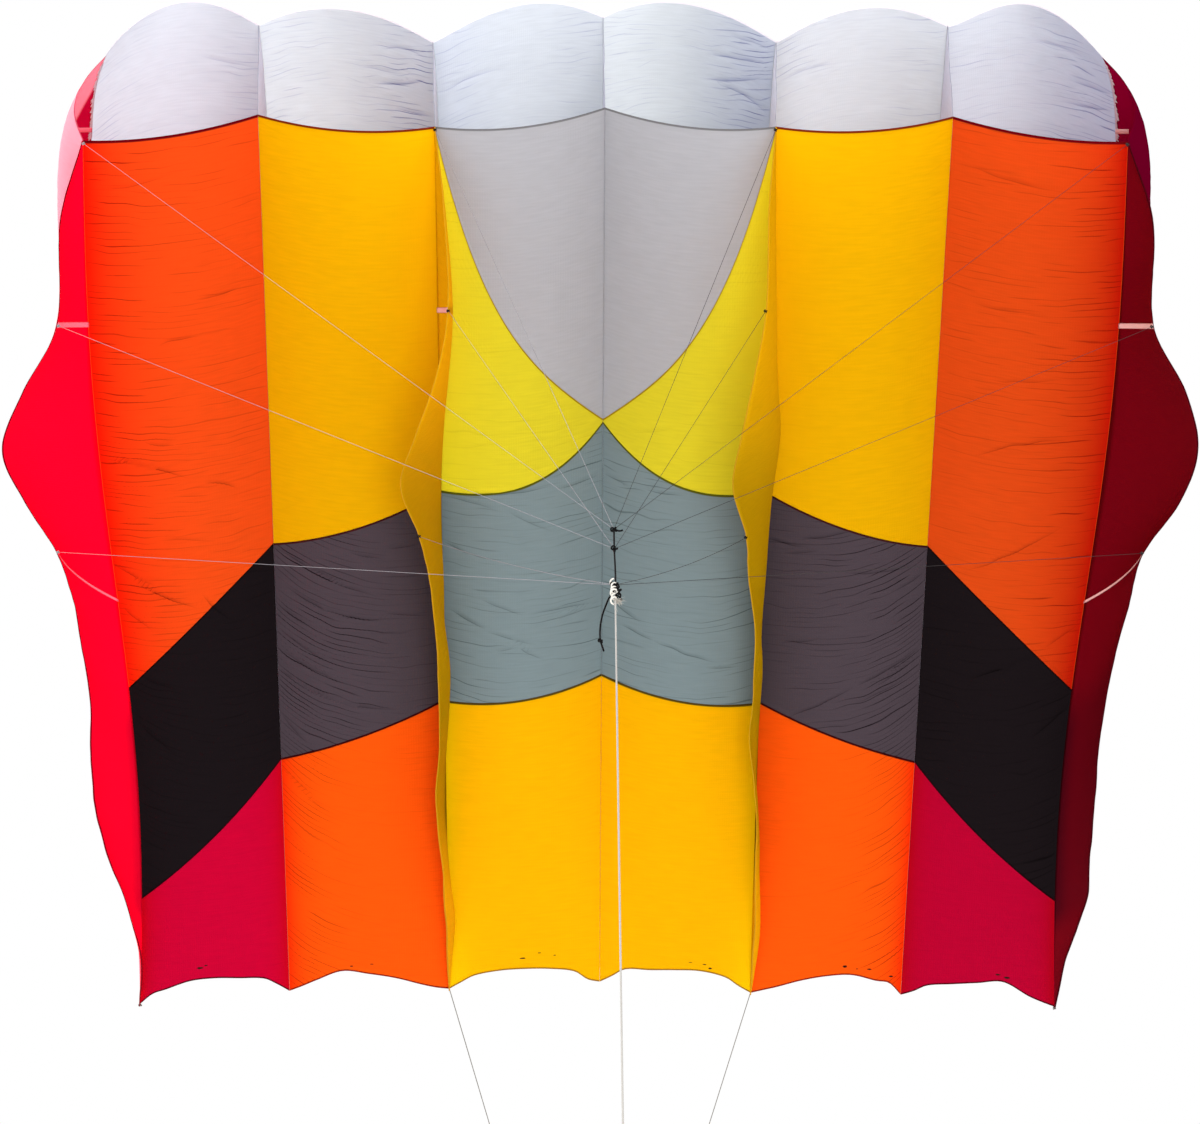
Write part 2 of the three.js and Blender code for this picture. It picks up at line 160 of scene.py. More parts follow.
# X of a rib's lower seam: straight, with a sway of two sines on the two end ribs
def ribSide(i, c):
    sway = wing["endDraw"] * np.sin(np.pi * c) - wing["endTuck"] * np.sin(2 * np.pi * c)
    return (i - 3) * pitch + mix(ribs["noseSide"][i], ribs["tailSide"][i], c) + inwardOf(i) * sway


# Z of a rib's lower seam: straight from nose to tail
def ribLow(i, c):
    return wing["bellyZ"] + mix(ribs["nose"][i], ribs["tail"][i], c)


# Sideways stand of the lip, fading as a power behind it into the stand of the end ribs' upper seam
def leanAt(i, w):
    near = np.power(1 - w, wing["leanFade"])
    return ribs["lean"][i] * near - inwardOf(i) * wing["endStand"] * (1 - near) * (1 - w)


# Section height: a parabola from lip to crest, then a power curve down to the trailing edge
def ribHeight(i, w):
    rest = np.clip(1 - w / wing["crestAt"], 0, 1)
    top = mix(wing["height"], ribs["lip"][i], rest ** 2)
    return mix(top, wing["tailGap"], pastCrest(w) ** wing["tailShape"])


# Trailing edge of a cell as a share of the chord, pulled forward between the ribs
def cellTail(cell, u):
    return 1 - through(pulls["at"], pulls["drawn"][cell], u) / chord


# Belly: straight between its two seams, less a sag that dies out at the trailing edge
def bellySurface(cell, u, c):
    sag = cells["sag"][cell] * bell(u, 0.5) * (1 - np.power(c / cellTail(cell, u), 5))
    inset = wing["seamGap"] / 2
    x = mix(ribSide(cell, c) + inset, ribSide(cell + 1, c) - inset, u)
    return pack(x, chordY(c), mix(ribLow(cell, c), ribLow(cell + 1, c), u) - sag)


# Upper skin: straight between its two ribs, plus a crown, with the lip bowed forward
def topSurface(cell, u, w):
    arch = bell(u, mix(cells["peak"][cell], 0.5, np.minimum(1, w * 3)))
    lip = -(wing["lipAhead"] + cells["bow"][cell] * arch) / chord
    c = mix(lip, cellTail(cell, u), w)
    swell = np.minimum(1, w / wing["crestAt"])
    rise = mix(cells["lipCrown"][cell], cells["crown"][cell], swell * (2 - swell))
    side = lambda i: ribSide(i, c) + leanAt(i, w)
    high = lambda i: ribLow(i, c) + ribHeight(i, w)
    inset = wing["seamGap"] / 2
    x = mix(side(cell) + inset, side(cell + 1) - inset, u)
    crown = rise * (1 - pastCrest(w) ** 2) * np.power(np.maximum(arch, 0), mix(wing["lipPinch"], 1, swell))
    return pack(x, chordY(c), mix(high(cell), high(cell + 1), u) + crown)


# Rib: straight from lower to upper seam, the end ribs bulging out as half a sine
def ribSurface(i, h, w):
    cTop = mix(-wing["lipAhead"] / chord, 1, w)
    swell = mix(wing["endBulge"], wing["mouthBulge"], np.power(1 - w, wing["bulgeFade"])) * (1 - w * w)
    bulge = inwardOf(i) * (swell * np.sin(np.pi * h) - wing["endInset"])
    x = mix(ribSide(i, w), ribSide(i, cTop) + leanAt(i, w), h) - bulge
    z = mix(ribLow(i, w) + wing["ribGap"], ribLow(i, cTop) + ribHeight(i, w) - wing["ribGap"], h)
    return pack(x, chordY(mix(w, cTop, h)), z)


# Flares and keels: free edge and root along the chord, hang, sideways drift, swell of the keels
hangs = {
    "along": np.array([
        0, 0.055, 0.135, 0.19, 0.245, 0.31, 0.378, 0.44, 0.51, 0.58, 0.64, 0.7, 0.76, 0.82, 0.875, 0.93, 1]),
    "root": np.array([
        0, 0.085, 0.192, 0.26, 0.33, 0.415, 0.5, 0.565, 0.624, 0.68, 0.731, 0.78, 0.826, 0.87, 0.91, 0.95, 1]),
    **inMm({
        "hang": [9, 110, 240, 298, 318, 285, 240, 194, 163, 140, 130, 122, 108, 88, 61, 32, 9],
        "flareLeft": [0, -33, -31, -95, -141, -114, -70, -60, -58, -62, -74, -81, -64, -38, -15, 4, 0],
        "flareRight": [0, 38, 30, 93, 123, 106, 57, 53, 50, 47, 50, 53, 59, 60, 43, 21, 0],
        "keelLeft": [0, 18, 27, 4, -36, -71, -38, -20, -11, -6, -8, -16, -15, -7, -5, -4, 0],
        "keelRight": [0, -15, -23, -46, -68, -82, -50, -40, -22, -20, -27, -12, -4, -2, 0, 1, 0],
        "swellLeft": [0, 8, 18, 22, 24, 22, 18, 13, 20, 13, 2, 2, 8, 11, 18, 12, 0],
        "swellRight": [0, 8, 16, 30, 48, 38, 20, 10, 10, 4, 4, 6, 8, 11, 14, 12, 0],
    }),
}

# One row for each, left to right, with the side its tapes lie on and their rows
hung = tabled("rib drift cloth flutter belly swell tape tapes", {
    "flare_left": (0, "flareLeft", "redSun", 0.0015, -0.026, None, 1, "bc"),
    "keel_left": (2, "keelLeft", "mustard", 0.001, None, "swellLeft", -1, "b"),
    "keel_right": (4, "keelRight", "mustard", 0.001, None, "swellRight", 0, ""),
    "flare_right": (6, "flareRight", "redShade", 0.0015, 0.024, None, -1, "bc"),
})
tabs = {"a": 0.0, "b": 0.135, "c": 0.378}


# Flare or keel: straight from its root under the rib to its free edge, plus a parabola of belly
def hungSurface(name, s, along):
    piece = hung[name]
    column = lambda key: through(hangs["along"], hangs[key], along)
    root, hang, drift = column("root"), column("hang"), column(piece["drift"])
    full = column(piece["swell"]) if "swell" in piece else piece["belly"] * hang / hangs["hang"].max()
    rootZ = ribLow(piece["rib"], root) - wing["skinCloth"] - wing["hangClearance"]
    edgeZ = ribLow(piece["rib"], along) - wing["skinCloth"] - hang
    x = mix(ribSide(piece["rib"], root), ribSide(piece["rib"], along) + drift, s) + full * 4 * s * (1 - s)
    return pack(x, chordY(mix(root, along, s)), mix(rootZ, edgeZ, s))


print("wing surfaces ready")

# Creases and puckers
latticeSize = 211


# Smooth noise from -1 to 1 on a seeded lattice of random values
def clothNoise(x, y, seed):
    lattice = np.random.default_rng(seed).random((latticeSize, latticeSize)) * 2 - 1
    xi, yi = np.floor(x).astype(int), np.floor(y).astype(int)
    fx, fy = ease(0, 1, x - xi), ease(0, 1, y - yi)
    at = lambda a, b: lattice[a % latticeSize, b % latticeSize]
    low = mix(at(xi, yi), at(xi + 1, yi), fx)
    high = mix(at(xi, yi + 1), at(xi + 1, yi + 1), fx)
    return mix(low, high, fy)


# Fine creases of each cloth: strength all over, at the seam nearer the tip and at the one nearer the middle, reach,
# sweep toward the tail, spacing, crowding at the seams, depth in mm, then run, sway and fan at the far seam
puckers = tabled("all tip mid reach sweep step dense deep run sway fan", {
    "orange": (0.26, 0.85, 0.12, 0.12, 0.012, 0.014, 0.35, 1.2),
    "black": (0.3, 0.6, 0.35, 0.1, 0.07, 0.018, 0.4, 2.4),
    "crimson": (0.12, 0.12, 0.1, 0.05, 0.02, 0.024),
    "amber": (0.1, 0.25, 0.12, 0.05, 0.03, 0.02),
    "darkGrey": (0.3, 1.15, 0.15, 0.17, 0.085, 0.0145, 0.6, 1.7),
    "lowOrange": (0.12, 1.6, 0.1, 0.11, 0.12, 0.015, 0.55, 1.8),
    "lightGrey": (0.1, 0.1, 0.15, 0.05, 0.0, 0.02),
    "yellow": (0.25, 0.2, 0.2, 0.06, -0.01, 0.02),
    "blueGrey": (0.3, 0.6, 0.6, 0.1, 0.025, 0.016, 0.3, 1.5),
    "lowAmber": (0.08, 0.1, 0.15, 0.05, 0.0, 0.02),
    "skinEven": (0.07, 0.6, 0.6, 0.075, -0.02, 0.014, 0.25, None, 0.04, 0.35, 0.02),
    "skinOdd": (0.07, 0.5, 1.6, 0.105, -0.02, 0.013, 0.3, 1.6, 0.03, 0.5, 0.03),
})

# Long creases of the belly by cell: both ends in hundredths across and ten-thousandths of the chord along, then
# depth, half width and bend in mm
creaseUnits = (0.01, 0.0001, 0.01, 0.0001, 1, 1, 1)
bellyCreases = {
    0: [
        (63, 1750, 87, 1690, 1.4, 4, 5), (41, 2170, 63, 2140, 1.6, 4, -6), (5, 3400, 50, 3630, 3.2, 6, -8),
        (12, 3340, 32, 3500, 2, 4, 4), (62, 3720, 80, 3860, 2.2, 4, -4), (28, 3200, 46, 3270, 1.6, 4, 3),
        (10, 500, 50, 400, 1.2, 4, 4), (30, 4300, 65, 4400, 1, 5, -5), (2, 4594, 26, 4813, 2, 5, 3),
        (14, 4781, 50, 5109, 2.8, 5, 4), (3, 5062, 20, 5328, 1.8, 5, 3), (5, 6438, 28, 6828, 2, 5, 3),
        (55, 4984, 73, 5359, 2, 5, 2), (9, 5875, 34, 6063, 1.6, 5, 2),
    ],
    1: [
        (1, 4220, 20, 4000, 0.8, 4, 3), (3, 4641, 42, 4875, 2.2, 5, 3), (21, 4797, 61, 5031, 2.2, 5, 4),
        (46, 4547, 66, 4609, 1.6, 4, 2), (68, 4484, 88, 4484, 1.4, 4, 2), (8, 5047, 42, 5312, 2.4, 5, 4),
        (31, 5234, 64, 5328, 2.4, 5, 3), (66, 5234, 92, 5328, 1.6, 4, 2), (3, 5297, 20, 5453, 1.6, 4, 2),
        (2, 6031, 23, 6266, 1.8, 4, 3), (11, 6141, 46, 6328, 2, 5, 4), (26, 6281, 72, 6391, 1.8, 5, 4),
        (1, 6562, 16, 6844, 1.6, 4, 2), (3, 5578, 31, 5844, 1.6, 4, 3), (3, 5813, 41, 6078, 1.5, 4, 3),
        (0, 7219, 21, 7500, 2.4, 5, 3), (4, 7328, 28, 7672, 1.8, 5, 3),
    ],
    2: [
        (1, 3420, 34, 3300, 1, 5, 6), (1, 3970, 34, 4080, 1.6, 5, -5), (21, 3906, 69, 3875, 2, 5, 3),
        (72, 3922, 98, 3891, 2, 4, 3), (42, 4094, 69, 4391, 1.4, 5, 4), (2, 4484, 17, 4594, 2, 4, 2),
        (4, 5266, 28, 5453, 2.2, 5, 3), (24, 5109, 51, 5297, 1.6, 5, 3), (55, 5297, 99, 5344, 1.8, 5, -3),
        (72, 5406, 93, 5375, 1.6, 5, 2), (28, 5484, 58, 5656, 1.6, 5, 3), (44, 5625, 64, 5859, 1.5, 5, 3),
        (33, 5703, 47, 5687, 1.2, 4, 2),
    ],
    3: [
        (12, 3340, 46, 3160, 0.8, 5, 6), (17, 3922, 51, 3922, 2.2, 4, 3), (1, 3891, 17, 3938, 1.6, 4, 2),
        (14, 3984, 36, 3844, 1.4, 4, 2), (5, 5297, 24, 5453, 2, 5, 2), (12, 5547, 33, 5641, 2.2, 5, 2),
        (33, 5641, 72, 5828, 2.4, 5, 2), (66, 5891, 87, 5891, 1.8, 4, 2),
    ],
    4: [
        (1, 4422, 24, 4469, 2, 4, 2), (21, 4391, 55, 4266, 2.2, 4, 3), (12, 4563, 33, 4500, 1.6, 4, 2),
        (49, 4750, 93, 4781, 1.6, 4, 3), (81, 5031, 100, 4875, 1.8, 4, 2), (12, 5609, 36, 5516, 1.6, 4, 2),
        (59, 6078, 100, 5750, 2.6, 5, 3), (18, 6469, 59, 6078, 2.4, 5, 3), (72, 6109, 99, 5844, 1.6, 4, 2),
        (60, 6281, 94, 6047, 1.4, 4, 2),
    ],
    5: [
        (24, 3450, 75, 3160, 2, 4, -10), (18, 1830, 54, 1830, 1.4, 5, 6), (11, 440, 61, 530, 1.4, 5, 4),
        (30, 2600, 70, 2500, 1.2, 5, 5), (31, 5984, 76, 5547, 2.6, 6, 4), (52, 5797, 75, 5594, 1.6, 5, 2),
        (75, 6594, 100, 6219, 2, 5, 3), (26, 4734, 78, 4141, 2.2, 4, 3), (79, 5516, 97, 5266, 1.6, 4, 2),
    ],
}

# Creases of the upper skin near the lip, in the same columns
topCreases = {
    0: [
        (60, 600, 95, 500, 1.2, 8, 6),
    ],
    1: [
        (63, 800, 93, 500, 3.4, 8, 8), (70, 360, 94, 240, 2.6, 7, -6), (76, 1000, 97, 840, 2.8, 7, 5),
        (55, 650, 80, 550, 1.6, 7, 4),
    ],
    2: [
        (5, 600, 40, 700, 1.2, 8, -6),
    ],
    3: [
        (63, 800, 94, 470, 3.2, 8, 8), (64, 500, 96, 280, 2.6, 7, 6), (70, 810, 98, 810, 2.8, 8, -6),
        (75, 200, 97, 100, 2, 7, 4),
    ],
    4: [
        (4, 500, 40, 600, 1.4, 8, -5),
    ],
    5: [
        (77, 660, 99, 440, 3, 7, 5), (74, 940, 98, 630, 2.6, 8, 6), (55, 400, 85, 300, 1.8, 8, 4),
    ],
}
creaseForm = {
    "ridge": 0.55, "ridgeAt": 1.7, "wander": 2.5 * mm, "grain": 0.03, "seed": 90, "far": 30, "widest": 14,
    "starts": (-0.1, 0.35), "stops": (0.55, 1.1), "least": 0.02, "near": (7, 12), "apart": (3, 10),
}
hairForm = {
    "fan": 0, "sway": 0.22, "dense": 0, "run": 0.06, "deep": 1.2, "bends": (0.1, 0.07), "wander": 0.9,
    "wanderWide": (0.2, 0.05), "swayWide": (0.035, 0.03), "crowd": 0.25, "patchy": 1.3, "faint": 0.35, "seam": 0.004,
}


# Long creases: a trough along a bent line with a lower ridge beside it, dying out toward both ends, the signed
# distance in mm to the nearest one, and how strongly that one shows
def creases(rows, cell, u, c):
    form = creaseForm
    lift, fold, folded = np.zeros((3, *np.broadcast(u, c).shape))
    nearest, second = lift + form["far"], lift + form["far"]
    px, py = u * pitch, c * chord
    grain = form["grain"]
    wander = form["wander"] * clothNoise(px / grain + 11, py / grain + 5, form["seed"])
    for u0, c0, u1, c1, depth, width, bend in np.array(rows.get(cell, [])).reshape(-1, 7) * creaseUnits:
        ax, ay = u0 * pitch, c0 * chord
        dx, dy = (u1 - u0) * pitch, (c1 - c0) * chord
        length = math.hypot(dx, dy)
        t = ((px - ax) * dx + (py - ay) * dy) / length ** 2
        off = ((px - ax) * dy - (py - ay) * dx) / length + bend * mm * 4 * t * (1 - t) + wander
        wave = off / (width * mm)
        ends = ease(*form["starts"], t) * (1 - ease(*form["stops"], t))
        lift += depth * mm * (hump(wave, 1) - form["ridge"] * hump(wave - form["ridgeAt"], 1)) * ends
        far = np.where(ends > form["least"], np.abs(off) / mm, form["far"])
        closer = far < nearest
        second = np.where(closer, nearest, np.minimum(second, far))
        fold, folded = np.where(closer, off / mm, fold), np.where(closer, depth / 3 * ends, folded)
        nearest = np.minimum(nearest, far)
    folded = folded * (1 - ease(*form["near"], nearest)) * ease(*form["apart"], second - nearest)
    return lift, np.clip(fold, -form["widest"], form["widest"]), folded


# Fine creases: numbered lines that wander along the span and sweep toward the tail, each a shallow trough that
# shows here and there, strongest at the seams
def hairlines(base, tip, middle, look, seed):
    x, y, look = base[..., 0], base[..., 1], {**hairForm, **look}
    bent = [1 - np.exp(-off / bend) for off, bend in zip((tip, middle), look["bends"])]
    lean = y - look["sweep"] * bent[0] - look["fan"] * bent[1]
    (wanderX, wanderY), (swayX, swayY) = look["wanderWide"], look["swayWide"]
    line = lean / look["step"] + look["wander"] * clothNoise(x / wanderX + 40, lean / wanderY + 60, seed)
    line = line + look["sway"] * clothNoise(x / swayX + 20, lean / swayY + 30, seed + 1)
    row = np.round(line)
    atTip, atMid = look["tip"] * hump(tip, look["reach"]), look["mid"] * hump(middle, look["reach"])
    crowd = look["crowd"] + look["dense"] * np.minimum(atTip + atMid, 1)
    drawn = np.clip(crowd + look["patchy"] * clothNoise(x / look["run"] + 90, row + 100, seed + 2), 0, 1)
    each = np.random.default_rng(seed + 3).random(latticeSize)[row.astype(int) % latticeSize]
    shown = drawn * mix(look["faint"], 1, each) * (look["all"] + atTip + atMid)
    shown = shown * tip / (tip + look["seam"]) * middle / (middle + look["seam"])
    return look["deep"] * mm * shown * (0.5 + 0.5 * np.cos(2 * np.pi * (line - row))), line, shown


# Lift of a cell's cloth and the marks of its creases, fine and long, each with a fade of its own
def wrinkles(base, tip, middle, look, seed, fade, rows, cell, u, c, longFade):
    lift, line, shown = hairlines(base, tip, middle, look, seed)
    trough, fold, folded = creases(rows, cell, u, c)
    return lift * fade + trough * longFade, {"line": line, "shown": shown, "fold": fold, "folded": folded}


# Broad unevenness of a cell's cloth: smooth noise, none at the ribs
def swelling(base, u, look):
    x, y = (base[..., k] / look["grain"][k] for k in (0, 1))
    return look["swell"] * clothNoise(x, y, look["swellSeed"]) * bell(u, 0.5)


# Places from 0 to 1 for a length: close rows at both ends, at places in mm, and even steps between
def edgeSteps(length, step, close=(0, 2, 4, 6, 8.5, 11, 15)):
    near = np.array(close) * mm
    count = max(2, int(round((length - 2 * near[-1]) / step)))
    inner = np.linspace(near[-1], length - near[-1], count + 1)
    return np.concatenate([near[:-1], inner, length - near[:-1][::-1]]) / length


# Closed sheet: a grid of points moved two ways along an axis, with UV in metres and marks, some a pair by face
def clothSheet(name, base, axis, moves, uv, marks, look, *nodes):
    front, back = (base + np.asarray(move)[..., None] * np.eye(3)[axis] for move in moves)
    shift = base.size // 3
    grid = np.arange(shift).reshape(base.shape[:2])
    faces = pack(grid[:-1, :-1], grid[:-1, 1:], grid[1:, 1:], grid[1:, :-1]).reshape(-1, 4)
    around = np.concatenate([grid[0, :-1], grid[:-1, -1], grid[-1, :0:-1], grid[:0:-1, 0]])
    after = np.roll(around, -1)
    rim = pack(after, around, around + shift, after + shift)
    faces = np.concatenate([faces, faces[:, ::-1] + shift, rim])
    points = np.concatenate([front.reshape(-1, 3), back.reshape(-1, 3)])
    a, b, c, d = (points[faces[:, k]] for k in range(4))
    volume = np.einsum("ij,ij->", a, np.cross(b, c)) + np.einsum("ij,ij->", a, np.cross(c, d))
    if volume < 0:
        faces = faces[:, ::-1]
    mesh = putMesh(name, points, faces, np.concatenate([uv.reshape(-1, 2)] * 2))
    for key, value in marks.items():
        faced = value if isinstance(value, tuple) else (value, value)
        values = np.concatenate([v.ravel() for v in faced]).astype(np.float32)
        mesh.attributes.new(key, "FLOAT", "POINT").data.foreach_set("value", values)
    return finish(putObject(name, mesh), look, *nodes)


# Smooth mesh of faces with equal numbers of sides, with one UV pair a point
def putMesh(name, points, faces, uv):
    mesh = bpy.data.meshes.new(name)
    mesh.vertices.add(len(points))
    mesh.vertices.foreach_set("co", points.astype(np.float32).ravel())
    mesh.loops.add(faces.size)
    mesh.loops.foreach_set("vertex_index", faces.astype(np.int32).ravel())
    mesh.polygons.add(len(faces))
    mesh.polygons.foreach_set("loop_start", np.arange(0, faces.size, faces.shape[1], dtype=np.int32))
    mesh.update(calc_edges=True)
    return smoothed(mesh, uv)


# Smooth shading, with each corner's UV taken from its point
def smoothed(mesh, uv):
    mesh.polygons.foreach_set("use_smooth", np.ones(len(mesh.polygons), dtype=bool))
    index = np.zeros(len(mesh.loops), dtype=np.int32)
    mesh.loops.foreach_get("vertex_index", index)
    layer = mesh.uv_layers.new(name="cloth")
    layer.data.foreach_set("uv", uv[index].astype(np.float32).ravel())
    mesh.update()
    return mesh


# New object in the scene
def linked(name, data):
    made = bpy.data.objects.new(name, data)
    bpy.context.scene.collection.objects.link(made)
    return made


# New piece, riding on the kite's one body
def putObject(name, mesh):
    made = linked(name, mesh)
    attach(made, "root")
    return made


# Widest and longest run over a grid of points, and its area
def cutSize(points):
    wide, long = (steps(points, axis).sum(axis=axis).max() for axis in (1, 0))
    d1 = points[1:, 1:] - points[:-1, :-1]
    d2 = points[1:, :-1] - points[:-1, 1:]
    area = np.linalg.norm(np.cross(d1, d2), axis=2).sum() / 2
    return round(float(wide), 3), round(float(long), 3), round(float(area), 4)


# Sheet's cut size, or the given flat size, printed with its area
def declareSheet(made, points, flat=None, sewn=()):
    wide, long, area = cutSize(points)
    wide, long = flat or (wide, long)
    print("  sheet", made.name, wide, long, area)


# Colour code as linear light
def linear(code):
    part = np.array([int(code[k:k + 2], 16) for k in (1, 3, 5)]) / 255
    return tuple(np.where(part <= 0.04045, part / 12.92, ((part + 0.055) / 1.055) ** 2.4)) + (1.0,)


# Empty node tree as a function that adds a node, sets or links its sockets and returns its outputs
def nodeMaker(owner):
    owner.use_nodes = True
    tree = owner.node_tree
    tree.nodes.clear()

    def add(kind, sockets=None, **settings):
        node = tree.nodes.new("ShaderNode" + kind)
        for key, value in settings.items():
            setattr(node, key, value)
        for key, value in (sockets or {}).items():
            if isinstance(value, bpy.types.NodeSocket):
                tree.links.new(value, node.inputs[key])
            else:
                node.inputs[key].default_value = value
        return node.outputs

    return add


# Sum, product or other operation on values
def sums(add, kind, *parts):
    return add("Math", dict(enumerate(parts)), operation=kind)[0]


# The same on vectors
def vectors(add, kind, *parts):
    return add("VectorMath", dict(enumerate(parts)), operation=kind)[0]


# Straight run from start at low to end at high
def ramp(add, value, low, high, start=0.0, end=1.0):
    return add("MapRange", {0: value, 1: low, 2: high, 3: start, 4: end})[0]


# Mark that the sheet carries at each point
def readMark(add, name):
    return add("Attribute", attribute_name=name)["Fac"]


# Straight mix of two colours
def colourMix(add, factor, a, b):
    return add("Mix", {0: factor, 6: a, 7: b}, data_type="RGBA")[2]


# Cloth looks: slot, colour, seam colour at the forward edge and its width in mm, light let through, a second colour
# that the shade mark mixes in as painted light and shade, how strongly painted shade darkens fine and long creases and
# in what colour, the trailing hem, and how far the painted shade reaches
cloths = tabled("slot colour fore foreWide through second ink foldInk crease aft shadeReach", {
    "white": ("skin_white", "#d9dcdf", "#efe9ee", 2.2, 0.62, "#b0b5d2", 1.0, 0.6, "#767cac"),
    "ribWhite": ("rib_white", "#e8e8f0", "#b4b4c2", 4, 0.6),
    "orange": ("cloth_orange", "#f2601c", "#7c0412", 5, 0.6, "#f61c04", 1.2, 0.9, "#980f04", "#8a1c06"),
    "black": ("cloth_black", "#140f11", "#090707", 4, 0.02, None, 1.0, 1.0, "#040303"),
    "crimson": ("cloth_crimson", "#d00038", "#22040c", 3.5, 0.5, "#cc0014", 0.5, 0.4, "#70000e", "#5c0010", 0.02),
    "amber": ("cloth_amber", "#f0c302", "#8c3010", 4, 0.62, "#ffd404", 0.4, 0.25, "#b06a00"),
    "darkGrey": ("cloth_dark_grey", "#41373d", "#34100e", 4.5, 0.15, None, 1.35, 1.0, "#120a0e"),
    "lowOrange": ("cloth_low_orange", "#fe6c0e", "#42060c", 4.5, 0.6, "#fa3404", 0.9, 0.6, "#a02004", "#a02408", 0.03),
    "lightGrey": ("cloth_light_grey", "#bcbbbf", "#848284", 3.6, 0.5, None, 0.4, 0.3, "#85838a"),
    "yellow": ("cloth_yellow", "#e8dc36", "#b89a18", 4, 0.6, "#fff434", 0.5, 0.4, "#a08c00"),
    "blueGrey": ("cloth_blue_grey", "#7f8e91", "#5a5a12", 5, 0.4, None, 1.1, 0.9, "#364444"),
    "lowAmber": ("cloth_low_amber", "#fcca02", "#64501a", 5, 0.62, "#ffe404", 0.4, 0.3, "#b87a00", "#b48418", 0.03),
    # Lit and shaded copies of one red cloth: painted sunlight on the left flare, painted shade on the right flare and
    # the right end rib, and a painted sunlit pale pink sheen on the left end rib
    "redSun": ("cloth_red", "#ff0034", "#8a0018", 7, 0.45, "#cc002c"),
    "redShade": ("cloth_red", "#6a000e", "#40000a", 7, 0.15, "#40000c"),
    "endShade": ("cloth_red", "#86002c", "#5a0018", 4, 0.06, "#58001a"),
    "pinkSun": ("cloth_red", "#f6a2b2", "#d05870", 3, 0.4, "#b80038"),
    "mustard": ("cloth_mustard", "#ecc40a", "#dcb428", 1.6, 0.7, "#6e6600"),
    # Lit and shaded copies of one pink tape: the saturated pink is painted sunlight, the pale one painted shade
    "pinkTape": ("tape_pink", "#ff7c92", "#e86478", 1, 0.2),
    "rawEdge": ("tape_pink", "#d8c4cc", "#d8c4cc", 1, 0.3),
    "paleTape": ("tape_pink", "#ecb8b4", "#d89c9a", 1, 0.2),
})
# Darker copies of orange and crimson for the right-hand panels: painted shade
cloths["duskOrange"] = {**cloths["orange"], "colour": "#ea5c1a", "second": "#dc1a06"}
cloths["duskCrimson"] = {**cloths["crimson"], "colour": "#c20034", "second": "#bc0012"}
weave = {
    "square": 0.005, "thread": 0.12, "lift": 0.0004, "strength": 0.5, "rough": 0.7, "shine": 0.03,
    "streaks": (22.0, 240.0, 40.0),
}
# Painted shade of creases: width of a fine one, of a long one's core and of the shade beside it, and how dark that
# shade is
creaseShadeForm = {"fine": 0.11, "core": 1.9, "beside": 9.0, "soft": 0.4}
matt = ("black", "endShade")
bands = {"aft": 4 * mm, "side": 1 * mm, "soft": (1.25, 0.85), "sideTone": 0.96, "threads": (1.05, 0.95)}

# Dark scuffs near the trailing edge: cell, place across, share of the chord, length and width in mm
scuffs = [
    (0, 0.4, 0.9594, 16, 7), (0, 0.44, 0.9565, 9, 4), (1, 0.39, 0.9688, 9, 4), (1, 0.52, 0.966, 12, 3),
    (2, 0.49, 0.9641, 14, 5), (2, 0.6, 0.9578, 8, 3), (2, 0.7, 0.962, 7, 3), (3, 0.69, 0.9672, 10, 4),
    (3, 0.73, 0.9719, 8, 6), (3, 0.6, 0.9655, 10, 2), (4, 0.62, 0.9641, 13, 8), (4, 0.78, 0.9672, 12, 5),
    (4, 0.93, 0.9766, 11, 5), (4, 0.7, 0.967, 6, 3), (5, 0.63, 0.9641, 12, 6), (5, 0.69, 0.9672, 15, 7),
]
scuffed = {"crimson": (0,), "duskCrimson": (5,), "lowOrange": (1, 4), "lowAmber": (2, 3)}
scuffForm = {"tone": (0.03, 0.012, 0.01, 1.0), "grain": 160.0, "flat": 8.0, "edge": (1.5, 1.15)}


# Spots of the scuff table as one mask: soft ellipses on Object coordinates, broken up by noise
def scuffMask(add, where, inCells):
    rough = add("TexNoise", {"Vector": where, "Scale": scuffForm["grain"], "Detail": 1.0})[0]
    total = 0.0
    for cell, u, c, length, width in scuffs:
        if cell in inCells:
            place = vectors(add, "SUBTRACT", where, tuple(bellySurface(cell, np.array(u), np.array(c))))
            scaled = vectors(add, "MULTIPLY", place, (2 / (length * mm), 2 / (width * mm), scuffForm["flat"]))
            far = add("VectorMath", {0: scaled}, operation="LENGTH")["Value"]
            total = sums(add, "MAXIMUM", total, ramp(add, sums(add, "ADD", far, rough), *scuffForm["edge"]))
    return total


# Band mask from a distance mark: 1 on the edge, 0 past the width
def edgeBand(add, mark, wide):
    past, inside = bands["soft"]
    return ramp(add, readMark(add, mark), wide * past, wide * inside)


# Painted crease shade: a thin dark core where a numbered line or a long crease runs, and a soft painted shade along
# one side of the long
def creaseShading(add, look):
    thin = ramp(add, sums(add, "PINGPONG", readMark(add, "line"), 0.5), 0.0, creaseShadeForm["fine"], look["ink"], 0.0)
    away = readMark(add, "fold")
    core = ramp(add, sums(add, "ABSOLUTE", away), 0.0, creaseShadeForm["core"], 1.0, 0.0)
    beside = ramp(add, away, 0.0, creaseShadeForm["beside"], creaseShadeForm["soft"], 0.0)
    beside = sums(add, "MULTIPLY", beside, sums(add, "GREATER_THAN", away, 0.0))
    strength = sums(add, "MULTIPLY", readMark(add, "folded"), look["foldInk"])
    long = sums(add, "MULTIPLY", sums(add, "MAXIMUM", core, beside), strength)
    fine = sums(add, "MULTIPLY", thin, readMark(add, "shown"))
    return add("Math", {0: fine, 1: long}, operation="ADD", use_clamp=True)[0]
